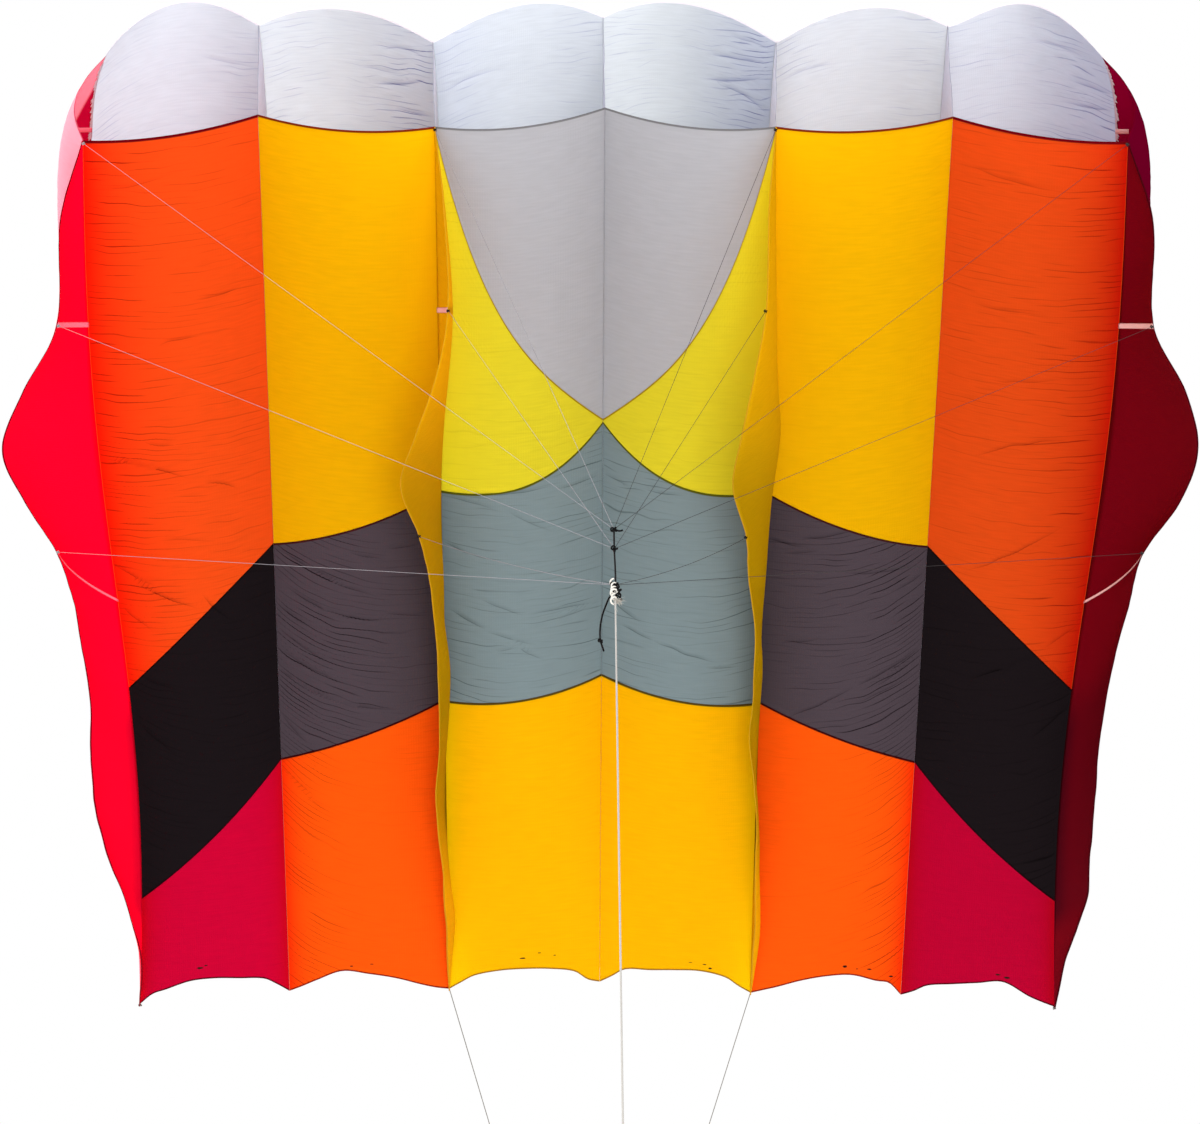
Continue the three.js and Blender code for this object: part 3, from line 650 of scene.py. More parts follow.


# Ripstop cloth: a faint thread along the span, painted light and shade by its shade mark, painted shade in its
# creases, darker doubled cloth at its edges and a woven grid
def clothMaterial(name, look):
    material = bpy.data.materials.new(name)
    add = nodeMaker(material)
    where = add("TexCoord")["Object"]
    colour = linear(look["colour"])
    times = lambda share: tuple(share * v for v in colour[:3]) + (1.0,)
    drawn = vectors(add, "MULTIPLY", where, weave["streaks"])
    thread = add("TexNoise", {"Vector": drawn, "Scale": 1.0, "Detail": 0.0})[0]
    tone = colourMix(add, thread, *(times(share) for share in bands["threads"]))
    # Painted light and shade: the shade mark mixes in the second colour, lighter or darker near seams and roots
    if "second" in look:
        tone = colourMix(add, readMark(add, "shade"), tone, linear(look["second"]))
    # Painted shade in the creases, in the crease colour
    if "ink" in look:
        tone = colourMix(add, creaseShading(add, look), tone, linear(look["crease"]))
    if "aft" in look:
        tone = colourMix(add, edgeBand(add, "aft", bands["aft"]), tone, linear(look["aft"]))
    tone = colourMix(add, edgeBand(add, "side", bands["side"]), tone, times(bands["sideTone"]))
    tone = colourMix(add, edgeBand(add, "fore", look["foreWide"] * mm), tone, linear(look["fore"]))
    if name in scuffed:
        tone = colourMix(add, scuffMask(add, where, scuffed[name]), tone, scuffForm["tone"])
    skin, normal = shaded(add, tone, weaveHeight(add), weave, 0.0 if name in matt else weave["shine"])
    glow = add("BsdfTranslucent", {"Color": tone, "Normal": normal})[0]
    add("OutputMaterial", {"Surface": add("MixShader", {0: look["through"], 1: skin, 2: glow})[0]})
    return material


# Surface with a bumped normal, and that normal
def shaded(add, tone, height, look, shine):
    normal = add("Bump", {"Strength": look["strength"], "Distance": look["lift"], "Height": height})[0]
    skin = {"Base Color": tone, "Roughness": look["rough"], "Normal": normal, "Specular IOR Level": shine}
    return add("BsdfPrincipled", skin)[0], normal


# The two parts of the UV
def splitUv(add):
    return add("SeparateXYZ", {0: add("UVMap", uv_map="cloth")[0]})


# Ripstop grid: a raised thread at each line of a square grid in UV
def weaveHeight(add):
    lines = []
    for run in splitUv(add)[:2]:
        tooth = sums(add, "PINGPONG", sums(add, "MULTIPLY", run, 1 / weave["square"]), 0.5)
        lines.append(ramp(add, tooth, weave["thread"], 0.0))
    return sums(add, "MAXIMUM", *lines)


braid = {
    "around": 4.0, "along": 420.0, "lift": 0.0004, "strength": 0.6, "rough": 0.7, "shine": 0.08, "light": (0.02, 0.16),
}


# Braided cord: crossing diagonal strands from the tube's UV, one lap round and metres along, with painted shade in the
# grooves between strands
def cordMaterial(name, look):
    material = bpy.data.materials.new(name)
    add = nodeMaker(material)
    uv = splitUv(add)
    around, along = (sums(add, "MULTIPLY", uv[k], braid[key]) for k, key in enumerate(("around", "along")))
    strands = [sums(add, "PINGPONG", sums(add, way, along, around), 0.5) for way in ("ADD", "SUBTRACT")]
    height = sums(add, "MULTIPLY", *strands)
    # Painted shade: the dark colour fills the grooves between the strands
    tone = colourMix(add, ramp(add, height, *braid["light"]), linear(look["dark"]), linear(look["colour"]))
    add("OutputMaterial", {"Surface": shaded(add, tone, height, braid, braid["shine"])[0]})
    return material


# Cord looks: slot, colour, and the darker colour of painted shade in the braid's grooves
cordLooks = tabled("slot colour dark", {
    # Lit and shaded copies of one bridle line: painted sunlight on the left legs, painted shade on the right
    "paleLine": ("bridle_line", "#9c989c", "#7a767a"),
    "shadeLine": ("bridle_line", "#45403f", "#242020"),
    "blackCord": ("adjuster_cord", "#0e0d0e", "#040404"),
    "whiteLine": ("flying_cord", "#efece6", "#b4afa6"),
    # Darker copy of the white line for the flying line: painted shade
    "flyingLine": ("flying_cord", "#c6c4c0", "#8a8680"),
    "tailCord": ("tail_cord", "#8e8a84", "#625e58"),
})
looks = {**cloths, **cordLooks}
materials = {key: (cordMaterial if key in cordLooks else clothMaterial)(key, look) for key, look in looks.items()}


# Material and slot of a piece, and the nodes it replaces
def finish(made, look, *nodes):
    made.data.materials.append(materials[look])
    if nodes:
        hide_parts(*nodes)
    return made


print("materials ready")

# Upper skin, rows closer at its lip, with painted lilac shade by cell: all over and by its two ribs
skinLook = {
    "long": 2.25, "lipStep": 0.0042, "lipReach": 0.3, "rowStep": 0.014, "colStep": 0.011, "close": (0, 2, 5, 9),
    "tailRows": mm * np.array([12, 8, 5, 2, 0]), "lipFade": 0.008, "tailFade": (0.8, 0.9), "grain": (0.16, 0.2),
    "seed": 300, "swellSeed": 310, "swellFade": 0.3, "leftWide": 0.1, "rightWide": 0.12,
    "layers": (0.45 * mm, 1.45 * mm), "hem": 0.5 * mm, "hemEdge": (0.008, 0.012), "swell": 1.6 * mm, "flatWide": 0.42,
    "lilacShade": (0.12, 0.08, 0.08, 0, 0.1, 0.12), "left": (0, 0, 0.1, 0, 0, 0), "right": (0, 0.12, 0, 0.3, 0, 0.25),
}


# Upper skin: two layers of the top surface, lifted by creases and a swell, farther apart at the lip's hem
def makeUpperSkin(cell):
    long, reach = skinLook["long"], skinLook["lipReach"]
    lip, tail = np.arange(0, reach, skinLook["lipStep"]), long - skinLook["tailRows"]
    rest = np.linspace(reach, tail[0], int((long - reach) / skinLook["rowStep"]))
    rows = np.concatenate([[0, 0.002], lip[1:], rest, tail[1:]]) / long
    u, w = np.meshgrid(edgeSteps(pitch, skinLook["colStep"], skinLook["close"]), rows)
    base = topSurface(cell, u, w)
    near, far = u * pitch, (1 - u) * pitch
    less, after = skinLook["tailFade"]
    fade = ease(0, skinLook["lipFade"], w) * (1 - less * ease(after, 1, w))
    look = puckers["skinOdd" if cell % 2 else "skinEven"]
    lift, marks = wrinkles(base, near, far, look, skinLook["seed"] + cell, fade, topCreases, cell, u, w, 1)
    lift += swelling(base, u, skinLook) * (1 - w) ** skinLook["swellFade"]
    fore = w * long
    hem = skinLook["hem"] * (1 - ease(*skinLook["hemEdge"], fore)) / 2
    inner, outer = skinLook["layers"]
    # Painted lilac shade: all over, by the left rib and by the right rib
    lilacShade, left, right = (skinLook[key][cell] for key in ("lilacShade", "left", "right"))
    shade = lilacShade + left * hump(near, skinLook["leftWide"]) + right * hump(far, skinLook["rightWide"])
    marks.update(fore=fore, aft=(1 - w) * long, side=np.minimum(near, far), shade=shade)
    moves, uv, node = (lift + inner - hem, lift + outer + hem), pack(u * skinLook["flatWide"], fore), f"top_{cell + 1}"
    made = clothSheet(f"upper_skin_{cell + 1}", base, 2, moves, uv, marks, "white", node)
    declareSheet(made, base)


for cell in range(6):
    makeUpperSkin(cell)
print("upper skin ready")

# Belly panels. Seams by ring: share of the chord nearer the tip and nearer the middle, power, and bow or mix
seams = {
    "outer": [(0.603, 0.459, 1, -0.004), (0.862, 0.71, 1, 0.004)],
    "middle": [(0.459, 0.391, 1, 0.001), (0.71, 0.635, 1, -0.003)],
    "inner": [(0.002, 0.329, None, 0.45), (0.391, 0.332, 3, 0), (0.636, 0.62, 1.6, 0)],
}
panelCloths = {
    "outer": ["orange", "black", "crimson"],
    "middle": ["amber", "darkGrey", "lowOrange"],
    "inner": ["lightGrey", "yellow", "blueGrey", "lowAmber"],
}
# Right-hand outer panels in the darker copies of their cloth: painted shade
shadedPanels = {(5, 0): "duskOrange", (5, 2): "duskCrimson"}
bellyLook = {
    "rowStep": 0.0053, "colStep": 0.0086, "close": (0, 2, 4, 7), "layers": (-0.45 * mm, -1.45 * mm), "swell": 1.4 * mm,
    "seam": 0.7 * mm, "wide": 9 * mm, "seamEdge": (0.75, 1.1), "shadeReach": 0.07, "noseFade": 0.02, "tailFade": 0.03,
    "sideFade": 0.01, "swellFade": 0.05, "grain": (0.15, 0.19), "seed": 400, "swellSeed": 420,
}


# Share of the chord at a seam: a power curve with a bow, or a straight line mixed with a fourth power
def seamShare(seam, v):
    tip, mid, power, bow = seam
    if power is None:
        return mid * mix(v, 1 - (1 - v) ** 4, bow) + tip * (1 - v)
    return mix(tip, mid, v ** power) + bow * 4 * v * (1 - v)


# Panel: two layers of the belly between two seams, lifted by creases and a swell, farther apart at the seams
def makePanel(cell, ring, k):
    cloth, edges = panelCloths[ring][k], seams[ring]
    node = f"belly_{cell + 1}_{'abcd'[k]}"
    cols = edgeSteps(pitch, bellyLook["colStep"], bellyLook["close"])
    v = cols if cell < 3 else 1 - cols
    half = wing["seamGap"] / 2 / chord
    begin = 0 * cols if k == 0 else seamShare(edges[k - 1], v) + half
    end = cellTail(cell, cols) if k == len(edges) else seamShare(edges[k], v) - half
    u, w = np.meshgrid(cols, edgeSteps((end - begin).max() * chord, bellyLook["rowStep"]))
    c = mix(begin, end, w)
    base = bellySurface(cell, u, c)
    tip = (u if cell < 3 else 1 - u) * pitch
    middle = pitch - tip
    side = np.minimum(tip, middle)
    fore, aft = (c - begin) * chord, (end - c) * chord
    fade = ease(0, bellyLook["noseFade"], c) * ease(0, bellyLook["tailFade"], cellTail(cell, u) - c)
    seed, longFade = bellyLook["seed"] + cell, ease(0, bellyLook["sideFade"], side)
    lift, marks = wrinkles(base, tip, middle, puckers[cloth], seed, fade, bellyCreases, cell, u, c, longFade)
    lift += swelling(base, u, bellyLook) * ease(0, bellyLook["swellFade"], c)
    seam = bellyLook["seam"] * (1 - ease(*bellyLook["seamEdge"], np.minimum(fore, aft) / bellyLook["wide"]))
    inner, outer = bellyLook["layers"]
    # Painted light and shade near a seam: a painted reflection of the red flare on the orange, painted shade on
    # crimson and low orange, painted light on amber, yellow and low amber against the keels' shadow
    toward = {"amber": middle, "crimson": side}.get(cloth, tip)
    shade = np.exp(-toward / cloths[cloth].get("shadeReach", bellyLook["shadeReach"]))
    marks.update(fore=fore, aft=aft + (1 if k < len(edges) else 0), side=side, shade=shade)
    moves, look = (lift + inner, lift + outer - seam), shadedPanels.get((cell, k), cloth)
    name = node.replace("belly", "belly_panel")
    made = clothSheet(name, base, 2, moves, pack(u * pitch, c * chord), marks, look, node)
    across = cutSize(bellySurface(cell, *np.meshgrid(cols, [c.min(), c.max()])))[0]
    declareSheet(made, base, (across, round(float(c.max() - c.min()) * chord, 3)))


for cell in range(6):
    ring = ("outer", "middle", "inner")[min(cell, 5 - cell)]
    for k in range(len(panelCloths[ring])):
        makePanel(cell, ring, k)
print("belly panels ready")

# Slanted tape on an end rib inside the mouth, and the ragged allowance of its upper seam
trim = {
    "top": 0.998, "foot": {0: 0.74, 6: 0.86}, "at": 0.072, "slant": 0.096, "level": 0.9, "half": 0.0026,
    "ragged": (0.006, 0.09), "deep": (0.012, 0.03), "tooth": 0.0022, "off": (1.6 * mm, 2.4 * mm), "seed": 560,
}
endNames = {0: "left", 6: "right"}


# Strips of a rib moved inward: a band along a slanted line, and one hanging to an uneven depth
def makeTrim(i):
    def strip(label, h, w, look):
        base = ribSurface(i, h, w)
        moves = [inwardOf(i) * off for off in trim["off"]]
        marks = {"fore": 0 * w + 1, "side": 0 * w + 1}
        return clothSheet(f"{label}_{endNames[i]}", base, 0, moves, base[..., 1:], marks, look)

    h, across = np.meshgrid(np.linspace(trim["foot"][i], trim["top"], 24), np.linspace(-1, 1, 4))
    w = trim["at"] + trim["slant"] * (h - trim["level"]) + trim["half"] * across
    # Painted light: the left end rib's tape in the sunlit copy, the right one's in the shaded copy
    tape = strip("mouth_tape", h, w, {0: "pinkTape", 6: "paleTape"}[i])
    t, w = np.meshgrid(np.linspace(0, 1, 4), np.linspace(*trim["ragged"], 140))
    deep = trim["deep"][0] + trim["deep"][1] * np.abs(clothNoise(w / trim["tooth"] + 5, 0 * w + 3, trim["seed"] + i))
    return [tape, strip("seam_allowance", trim["top"] - t * deep, w, "rawEdge")]


# Ribs: plain inside, bulging at the two ends. The left end rib is a painted sunlit pale pink that turns crimson,
# painted shade, past a slanted line on its inner face; the right end rib takes painted shade over its outer face
ribLook = {
    "rows": 90, "endRows": 150, "cols": 26, "reach": 0.985, "crowd": 1.15, "half": 0.4 * mm,
    "ripples": ((1.2 * mm, 0.12, 0.05, 500), (0.6 * mm, 0.012, 0.07, 520)), "wedge": (8, 1.24), "wedgeSoft": 0.03,
}


# Rib: two layers moved sideways by two ripples that die out at its seams and tail
def makeRib(i):
    end = i in endNames
    rows = np.linspace(0, ribLook["reach"], ribLook["endRows" if end else "rows"]) ** ribLook["crowd"]
    h, w = np.meshgrid(np.linspace(0, 1, ribLook["cols"]), rows)
    base = ribSurface(i, h, w)
    y, z = base[..., 1], base[..., 2]
    tall = z - z[:, :1]
    fade = bell(h, 0.5) * (1 - w)
    lift = sum(deep * clothNoise(y / long, z / high, seed + i) * fade for deep, long, high, seed in ribLook["ripples"])
    # Painted shade on the end ribs: past the wedge line on the left one's inner face, all over the right one's outer
    # face
    slope, start = ribLook["wedge"]
    wedge = ease(-ribLook["wedgeSoft"], ribLook["wedgeSoft"], h + slope * w - start)
    marks = {
        "fore": y - y[:1], "aft": 0 * w + 1, "side": np.minimum(tall, tall[:, -1:] - tall) + 0.001,
        "shade": (0 * w, 0 * w + 1 if i == 6 else wedge),
    }
    name = f"end_rib_{endNames[i]}" if end else f"rib_{i}"
    moves, look = (lift - ribLook["half"], lift + ribLook["half"]), {0: "pinkSun", 6: "endShade"}.get(i, "ribWhite")
    made = clothSheet(name.replace("rib", "rib_cloth"), base, 0, moves, pack(y, tall), marks, look, name)
    declareSheet(made, base, sewn=makeTrim(i) if end else ())


for i in range(7):
    makeRib(i)
print("ribs ready")

# Cords
knots = {"a": np.array([0, -14, 165]) * mm, "b": np.array([0, -6, 112]) * mm, "c": np.zeros(3)}
lineEnd = np.array([-16, -188, -1792]) * mm
lineWay = unit(lineEnd)


# Tube: a circle of points carried along a path, turned by a reference direction that no part of it follows
def tube(path, radius, sides=10, reference=(0.31, 0.9, 0.17), closed=False, taper=1):
    count = len(path)
    tangent = np.roll(path, -1, axis=0) - np.roll(path, 1, axis=0) if closed else np.gradient(path, axis=0)
    tangent = unit(tangent)
    across = unit(np.cross(tangent, np.broadcast_to(reference, path.shape)))
    up = np.cross(across, tangent)
    angle = np.linspace(0, 2 * np.pi, sides, endpoint=False)[None, :, None]
    wide = (radius * taper * np.ones(count))[:, None, None]
    points = path[:, None] + wide * (np.cos(angle) * across[:, None] + np.sin(angle) * up[:, None])
    j, k = np.arange(count if closed else count - 1)[:, None], np.arange(sides)[None]
    here, after, turn = j * sides, (j + 1) % count * sides, (k + 1) % sides
    faces = pack(after + k, after + turn, here + turn, here + k)
    return points.reshape(-1, 3), faces.reshape(-1, 4)


# Several tubes as one mesh
def joined(parts):
    first = np.cumsum([0] + [len(points) for points, faces in parts])
    return np.concatenate([points for points, faces in parts]), np.concatenate(
        [faces + start for (points, faces), start in zip(parts, first)])


# Cord: an open tube closed by a cap at each end
def cordMesh(name, path, radius, look, sides=10):
    points, faces = tube(path, radius, sides)
    lap = np.linspace(0, 1, sides, endpoint=False)
    run = np.concatenate([[0], np.cumsum(steps(path))])
    uv = pack(lap[None], run[:, None]).reshape(-1, 2)
    mesh = bpy.data.meshes.new(name)
    caps = [list(range(sides)), list(range(len(points) - sides, len(points)))[::-1]]
    mesh.from_pydata(points.tolist(), [], faces.tolist() + caps)
    return finish(putObject(name, smoothed(mesh, uv)), look)


knotLook = {"points": 72, "sides": 7, "step": 0.0009, "depth": 1.3}


# Overhand knots: each a trefoil round its own axis, its tube turned by the way out from its centre
def knotMesh(name, places, radius, look):
    t = np.linspace(0, 2 * np.pi, knotLook["points"], endpoint=False)
    flat = pack(np.sin(t) + 2 * np.sin(2 * t), np.cos(t) - 2 * np.cos(2 * t), -knotLook["depth"] * np.sin(3 * t))
    sides, parts = knotLook["sides"], []
    for centre, size, spin, tilt in places:
        turn = np.array(Matrix.Rotation(spin, 3, "Z") @ Matrix.Rotation(tilt, 3, "X"))
        away = flat @ turn.T * (size / 3)
        parts.append(tube(np.asarray(centre, float) + away, radius, sides, away + 1e-6, closed=True))
    points, faces = joined(parts)
    number = np.arange(len(points))
    uv = pack(number % sides / sides, number // sides * knotLook["step"])
    return finish(putObject(name, putMesh(name, points, faces, uv)), look)


# Bridle legs: straight from tab to knot, the two rear keel legs as slack parabolas
bridle = {
    "radius": 0.4 * mm, "points": 24, "start": 1.4 * mm, "end": {"a": 6.4 * mm, "b": 7.6 * mm, "c": 9.4 * mm},
    "slack": {"keel_left": 15 * mm, "keel_right": 16 * mm}, "tie": 3.2 * mm, "tieAt": 5 * mm, "tieCord": 0.9 * mm,
}


# Leg: a straight mix from tab to knot, plus a parabola of slack, and its tie
def makeLeg(piece, k, row):
    tab = hungSurface(piece, np.array(1.0), np.array(tabs[row]))
    toKnot = unit(knots[row] - tab)
    start, end = tab + toKnot * bridle["start"], knots[row] - toKnot * bridle["end"][row]
    t = np.linspace(0, 1, bridle["points"])[:, None]
    slack = bridle["slack"].get(piece, 0) if row == "c" else 0
    path = mix(start, end, t) + 2 * t * (1 - t) * np.array([0, slack, -slack])
    # Painted light: sunlit copy on the left legs, shaded copy on the right
    look = "paleLine" if k < 2 else "shadeLine"
    name = f"bridle_{row}{k + 1}"
    made = cordMesh(name + "_line", path, bridle["radius"], look, 8)
    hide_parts(name)
    place = (tab + toKnot * bridle["tieAt"], bridle["tie"], 0.4 * k, 0.5)
    tie = knotMesh(name + "_tie", [place], bridle["tieCord"], "blackCord" if k in (1, 2) else look)


for k, piece in enumerate(hung):
    for row in "abc":
        makeLeg(piece, k, row)


# Smooth run through hand-set points: a Catmull-Rom spline with a mirrored point past each end
def smoothRun(points, count):
    padded = np.concatenate([2 * points[:1] - points[1:2], points, 2 * points[-1:] - points[-2:-1]])
    at = np.linspace(0, len(points) - 1, count)
    k = np.minimum(at.astype(int), len(points) - 2)
    t = (at - k)[:, None]
    p0, p1, p2, p3 = (padded[k + j] for j in range(4))
    return 0.5 * (2 * p1 + (p2 - p0) * t + (2 * p0 - 5 * p1 + 4 * p2 - p3) * t ** 2
                  + (3 * p1 - p0 - 3 * p2 + p3) * t ** 3)


# Adjuster: one black cord from the upper knot through the tow point to its loose tail
adjuster = {
    "radius": 1.6 * mm, "count": 90, "knotCord": 1.5 * mm,
    "tail": mm * np.array([[0, 0, 0], [-12, 16, -22], [-23, 34, -52], [-26, 50, -86], [-20, 62, -112]]),
    "stub": mm * np.array([[2, 0, 0], [7, 1, -3], [11, 2, -2], [15, 2, 1]]),
}
adjusterPath = smoothRun(np.concatenate([[knots["a"], knots["b"]], adjuster["tail"]]), adjuster["count"])
adjusterCord = cordMesh("adjuster_cord", adjusterPath, adjuster["radius"], "blackCord")
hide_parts("adjuster")
adjusterKnots = knotMesh("adjuster_knots", [
    (knots["a"], 5.5 * mm, 0.3, 0.6), (knots["b"], 5.5 * mm, 1.2, 0.4), (knots["c"], 8 * mm, 0.2, 0.9),
    (lineWay * 24 * mm + (0.004, 0, 0), 6.5 * mm, 0.9, 0.3), (lineWay * 50 * mm + (0.005, 0, 0), 7 * mm, 2.0, 0.5),
    (adjusterPath[-12], 4 * mm, 0.5, 1.0)], adjuster["knotCord"], "blackCord")
adjusterStub = cordMesh(
    "adjuster_stub", smoothRun(knots["a"] + adjuster["stub"], 12), adjuster["radius"], "blackCord", 8)

# White line wound round the tow point
wrap = {
    "turns": 5.5, "points": 150, "from": -14 * mm, "to": 66 * mm, "radius": 4.4 * mm, "uneven": 0.25,
    "aside": 2.5 * mm, "cord": 1.5 * mm,
}


# Helix round the way of the line, its radius uneven as a sine
def makeWrap():
    side1 = unit(np.cross(lineWay, (1.0, 0.0, 0.0)))
    side2 = np.cross(lineWay, side1)
    angle = np.linspace(0, 2 * np.pi * wrap["turns"], wrap["points"])[:, None]
    run = lineWay * np.linspace(wrap["from"], wrap["to"], wrap["points"])[:, None]
    wide = wrap["radius"] * (1 + wrap["uneven"] * np.sin(angle * 0.37 + 1))
    path = run + wide * (np.cos(angle) * side1 + np.sin(angle) * side2) - (wrap["aside"], 0, 0)
    return cordMesh("tow_wrap", path, wrap["cord"], "whiteLine", 8)


tuft = {
    "strands": 46, "points": 6, "from": 60 * mm, "long": 17 * mm, "spread": 0.8, "lean": np.array([0.75, 0.1, 0.1]),
    "curl": 0.25, "root": 1.6 * mm, "radius": 0.55 * mm, "taper": 0.75,
}


# Frayed strands: short curved tapering tubes fanned out from one point
def makeTuft():
    rng = np.random.default_rng(77)
    t = np.linspace(0, 1, tuft["points"])[:, None]
    parts = []
    for _ in range(tuft["strands"]):
        aim = unit(lineWay + tuft["spread"] * (rng.normal(0, 0.45, 3) + tuft["lean"]))
        curl = rng.normal(0, tuft["curl"], 3)
        root = lineWay * tuft["from"] + rng.normal(0, tuft["root"], 3)
        path = root + tuft["long"] * rng.uniform(0.5, 1) * (aim * t + curl * t * t)
        parts.append(tube(path, tuft["radius"], 3, taper=1 - tuft["taper"] * t[:, 0]))
    points, faces = joined(parts)
    mesh = putMesh("frayed_end", points, faces, np.zeros((len(points), 2)))
    return finish(putObject("frayed_end", mesh), "whiteLine")


lineLook = {"points": 30, "loopPoints": 33, "loopLong": 22 * mm, "loopWide": 11 * mm, "knot": 3.2, "steep": 0.9}


# Long cord that ends in a tied loop: straight run, then an oval back to the knot
def makeLine(name, start, end, radius, look, node):
    along = unit(end - start)
    across = unit(np.cross(along, (0, 0, 1) if abs(along[2]) < lineLook["steep"] else (0, 1, 0)))
    run = mix(start, end, np.linspace(0, 1, lineLook["points"])[:, None])
    a = np.linspace(-np.pi / 2, 1.5 * np.pi, lineLook["loopPoints"])[1:-1, None]
    oval = end + along * lineLook["loopLong"] * (1 + np.sin(a)) + across * lineLook["loopWide"] * np.cos(a)
    path = np.concatenate([run, oval])
    made = cordMesh(name, path, radius, look)
    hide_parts(node)
    tie = knotMesh(name + "_knot", [(end, radius * lineLook["knot"], 0.4, 0.7)], radius, look)


towWrap, frayedEnd = makeWrap(), makeTuft()
makeLine("flying_cord", lineWay * 9.3 * mm, lineEnd, 1.5 * mm, "flyingLine", "flying_line")
tailEnd = {"along": 412 * mm, "inward": 100 * mm, "drop": 26 * mm, "behind": 0.6 * mm}
for i, side, node in ((2, 1, "tail_line_left"), (4, -1, "tail_line_right")):
    start = np.array([ribSide(i, 1.0), chordY(1) + tailEnd["behind"], ribLow(i, 1.0) - wing["skinCloth"] / 2])
    reach = np.array([side * tailEnd["inward"], tailEnd["along"], -tailEnd["drop"]])
    makeLine(node.replace("line", "cord"), start, start + reach, 1 * mm, "tailCord", node)
print("cords ready")

# Flares and keels, fluttering at the free edge, and their painted shade: all over and at the root, between two places
# along
hungLook = {
    "rows": 240, "cols": 22, "half": 0.5 * mm, "hem": 0.5 * mm, "hemEdge": (0.008, 0.012), "ripple": 0.5 * mm,
    "waves": ((1, 47), (0.7, 29), (0.45, 83)), "fluttersFrom": (0.38, 0.5), "fluttersTo": (0.93, 1),
    "rippleWide": (0.03, 0.012), "rippleReach": 0.1, "seed": 600, "sideStand": 0.02,
}
hungShade = tabled("all root reach from to", {
    "keel": (0.3, 0.55, 0.05, (0.16, 0.34), (0.7, 0.86)),
    "flare": (0.4, 0.55, 0.04, (0.47, 0.56), (0.82, 0.88)),
})


# Flare or keel: two layers moved sideways by three sines and a ripple, farther apart at the free edge's hem
def makeHung(name):
    piece = hung[name]
    s, along = np.meshgrid(np.linspace(0, 1, hungLook["cols"]), np.linspace(0, 1, hungLook["rows"]))
    base = hungSurface(name, s, along)
    hang = np.linalg.norm(base - base[:, :1], axis=2)
    reach = hang.max(axis=1, keepdims=True)
    wave = sum(share * np.sin(along * turns + start)
               for (share, turns), start in zip(hungLook["waves"], (piece["rib"], 1, 2)))
    lift = piece["flutter"] * wave * s ** 2
    lift = lift * ease(*hungLook["fluttersFrom"], along) * (1 - ease(*hungLook["fluttersTo"], along))
    y, z = (base[..., k + 1] / hungLook["rippleWide"][k] for k in (0, 1))
    lift += hungLook["ripple"] * clothNoise(y, z, hungLook["seed"]) * s * ease(0, hungLook["rippleReach"], reach)
    thick = hungLook["half"] + hungLook["hem"] * (1 - ease(*hungLook["hemEdge"], reach - hang))
    # Painted shade: olive on the keels, darker red on the flares, strongest by the root
    dark = hungShade[name.split("_")[0]]
    shade = dark["all"] + dark["root"] * hump(hang, dark["reach"])
    shade *= ease(*dark["from"], along) * (1 - ease(*dark["to"], along))
    marks = {"fore": reach - hang, "side": hang + hungLook["sideStand"], "shade": shade}
    moves, uv = (lift - thick, lift + thick), pack(hang, along * chord)
    return clothSheet(name + "_cloth", base, 0, moves, uv, marks, piece["cloth"], name), base


tape = {"half": {"b": 0.0022, "c": 0.0014}, "off": (1.1 * mm, 2.2 * mm), "rows": 5, "cols": 40}


# Reinforcing tape across a flare or keel: a narrow band of its surface, a little off its face
def makeTape(name, row, face):
    half = tape["half"][row]
    rows = np.linspace(tabs[row] - half, tabs[row] + half, tape["rows"])
    s, along = np.meshgrid(np.linspace(0, 1, tape["cols"]), rows)
    base = hungSurface(name, s, along)
    moves = [face * off for off in tape["off"]]
    uv = pack(np.linalg.norm(base - base[:, :1], axis=2), along * chord)
    marks = {"fore": (half - np.abs(along - tabs[row])) * chord, "side": 0 * s + 1}
    nodes = [name.replace("flare", "tape") + "_" + row] if name.startswith("flare") else []
    # Painted light: sunlit copy on the side toward +x, shaded copy on the other
    look = "pinkTape" if face > 0 else "paleTape"
    return clothSheet(f"{name}_tape_{row}", base, 0, moves, uv, marks, look, *nodes)


tipLoop = {"size": 4 * mm, "radius": 0.9 * mm, "behind": 3.5 * mm}


# Small loop of cord at a flare's trailing tip
def makeTipLoop(name):
    i = hung[name]["rib"]
    place = (ribSide(i, 1.0), chordY(1) + tipLoop["behind"], ribLow(i, 1.0) - wing["skinCloth"])
    knot = (place, tipLoop["size"], 0.3 * i, 0.6)
    return knotMesh(name.replace("flare", "tip_loop"), [knot], tipLoop["radius"], "tailCord")


for name, piece in hung.items():
    made, base = makeHung(name)
    sewn = [makeTape(name, row, piece["tape"]) for row in piece["tapes"]]
    if name.startswith("flare"):
        sewn.append(makeTipLoop(name))
    declareSheet(made, base, sewn=sewn)
print("flares, keels and tapes ready")

# Camera as the photograph was taken: below and ahead of the kite, looking up
shot = {
    "place": (-0.1138, -3.3854, -5.7885), "up": 60.0, "yaw": 1.508, "roll": 1.209,
    "focalPixels": 3991.2, "photoWide": 1200, "sensor": 36, "clipEnd": 200,
}


# View direction from its height and yaw, then rolled about itself
def makeCamera():
    up, yaw, roll = (math.radians(shot[k]) for k in ("up", "yaw", "roll"))
    ahead = Vector((math.sin(yaw) * math.cos(up), math.cos(yaw) * math.cos(up), math.sin(up)))
    right = Vector((math.cos(yaw), -math.sin(yaw), 0))
    down = ahead.cross(right)
    right, down = math.cos(roll) * right + math.sin(roll) * down, math.cos(roll) * down - math.sin(roll) * right
    data = bpy.data.cameras.new("camera")
    data.sensor_width = shot["sensor"]
    data.lens = shot["sensor"] * shot["focalPixels"] / shot["photoWide"]
    data.clip_end = shot["clipEnd"]
    camera = bpy.context.scene.camera = linked("camera", data)
    turn = Matrix((right, -down, -ahead)).transposed().to_4x4()
    camera.matrix_world = Matrix.Translation(shot["place"]) @ turn


makeCamera()

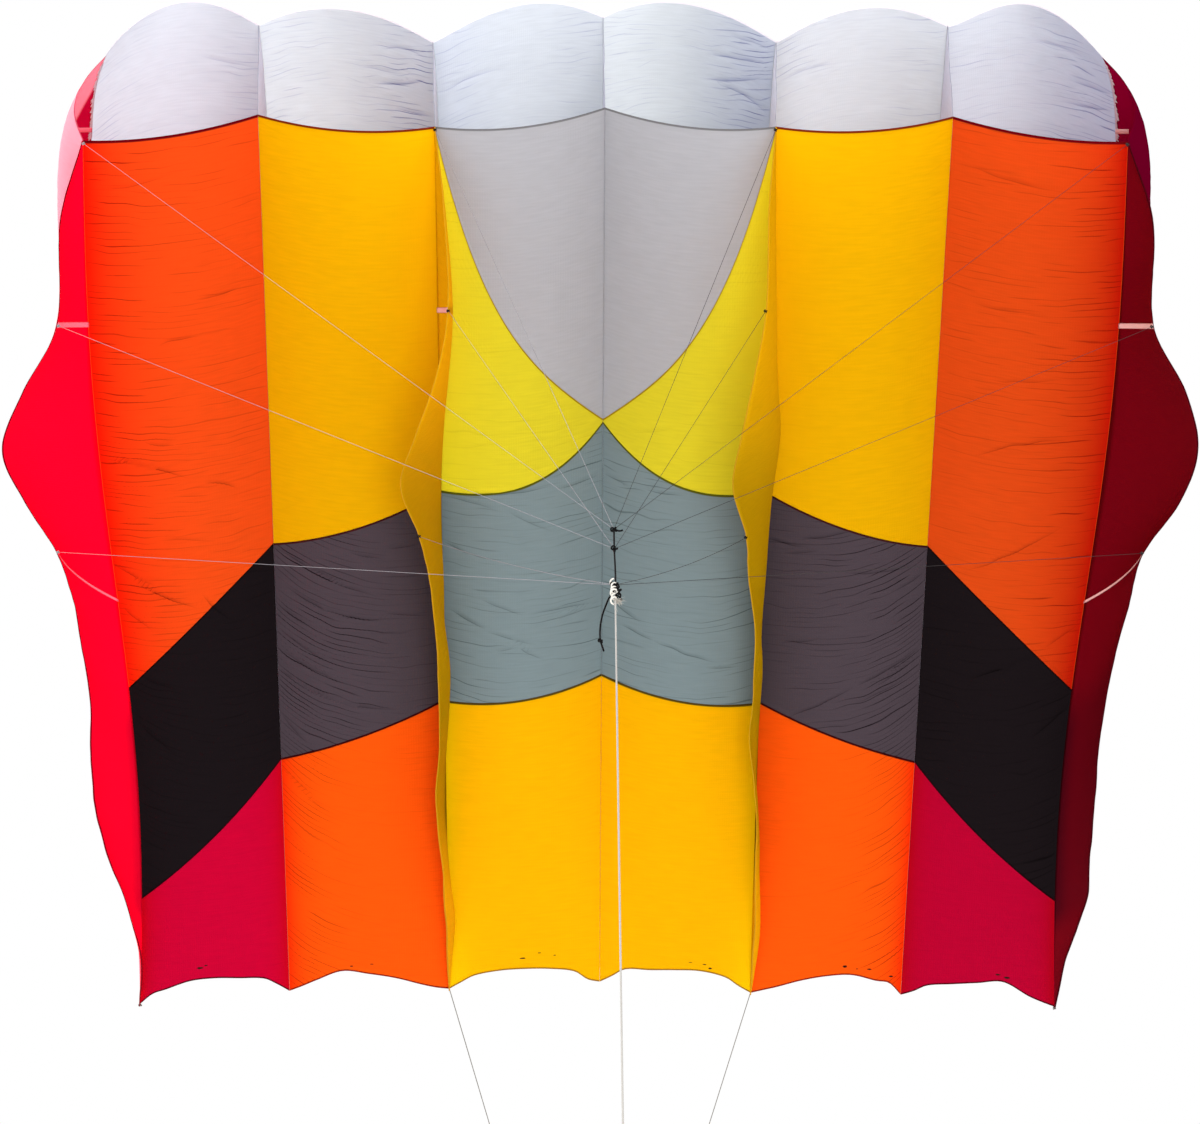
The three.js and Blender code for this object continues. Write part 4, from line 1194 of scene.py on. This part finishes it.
# Soft studio light: white surroundings brighter above and toward two corners, a broad key below, a lamp behind
studio = {
    "above": 1.7, "below": 1.0, "slantAbove": -0.6, "slantBelow": -2.0, "tint": (0.98, 0.985, 1.0, 1.0), "seen": 1.0,
    "brightens": (-0.3, 0.6), "turns": (-0.2, 0.2), "aim": (0, 0.8, 1.4),
    "floorZ": -17.5, "floorSize": 120, "floorTones": (0.86, 0.9), "floorGrain": 0.5, "floorRough": 0.9,
    "lamps": {
        "key": {"from": (0.9, -4.2, -6.5), "power": 470, "size": 3.0, "tint": (1.0, 0.985, 0.96)},
        "back": {"from": (-7.0, 0.0, 6.0), "power": 700, "size": 4.0, "tint": (1.0, 0.97, 0.93)},
    },
}


# World strength: a ramp by height times one plus a tilt by X and Z
def makeStudio():
    scene = bpy.context.scene
    scene.view_settings.view_transform = "Standard"
    scene.world = bpy.data.worlds.new("studio")
    add = nodeMaker(scene.world)
    x, _, z = add("SeparateXYZ", {0: add("TexCoord")["Generated"]})
    height = ramp(add, z, *studio["brightens"], studio["below"], studio["above"])
    much = ramp(add, z, *studio["turns"], studio["slantBelow"], studio["slantAbove"])
    tilt = sums(add, "MULTIPLY_ADD", sums(add, "MULTIPLY", x, z), much, 1.0)
    strength = sums(add, "MULTIPLY", height, tilt)
    lit = add("Background", {"Color": studio["tint"], "Strength": strength})[0]
    seen = add("Background", {"Color": (1, 1, 1, 1), "Strength": studio["seen"]})[0]
    straight = add("LightPath")["Is Camera Ray"]
    add("OutputWorld", {"Surface": add("MixShader", {0: straight, 1: lit, 2: seen})[0]})
    for name, look in studio["lamps"].items():
        data = bpy.data.lights.new(name, "AREA")
        data.energy, data.size, data.color = look["power"], look["size"], look["tint"]
        way = Vector(studio["aim"]) - Vector(look["from"])
        turn = way.to_track_quat("-Z", "Y").to_matrix().to_4x4()
        linked(name, data).matrix_world = Matrix.Translation(look["from"]) @ turn


# Level square far below
def makeFloor():
    material = bpy.data.materials.new("floor")
    add = nodeMaker(material)
    grain = add("TexNoise", {"Scale": studio["floorGrain"], "Detail": 4.0})[0]
    tone = colourMix(add, grain, *((grey, grey, grey, 1) for grey in studio["floorTones"]))
    skin = add("BsdfPrincipled", {"Base Color": tone, "Roughness": studio["floorRough"]})[0]
    add("OutputMaterial", {"Surface": skin})
    half = studio["floorSize"] / 2
    corner = np.array([[-half, -half], [half, -half], [half, half], [-half, half]])
    points = np.column_stack([corner, np.full(4, studio["floorZ"])])
    mesh = putMesh("floor", points, np.array([[0, 1, 2, 3]]), corner)
    mesh.materials.append(material)
    linked("floor", mesh)


makeStudio()
makeFloor()
print("studio ready")
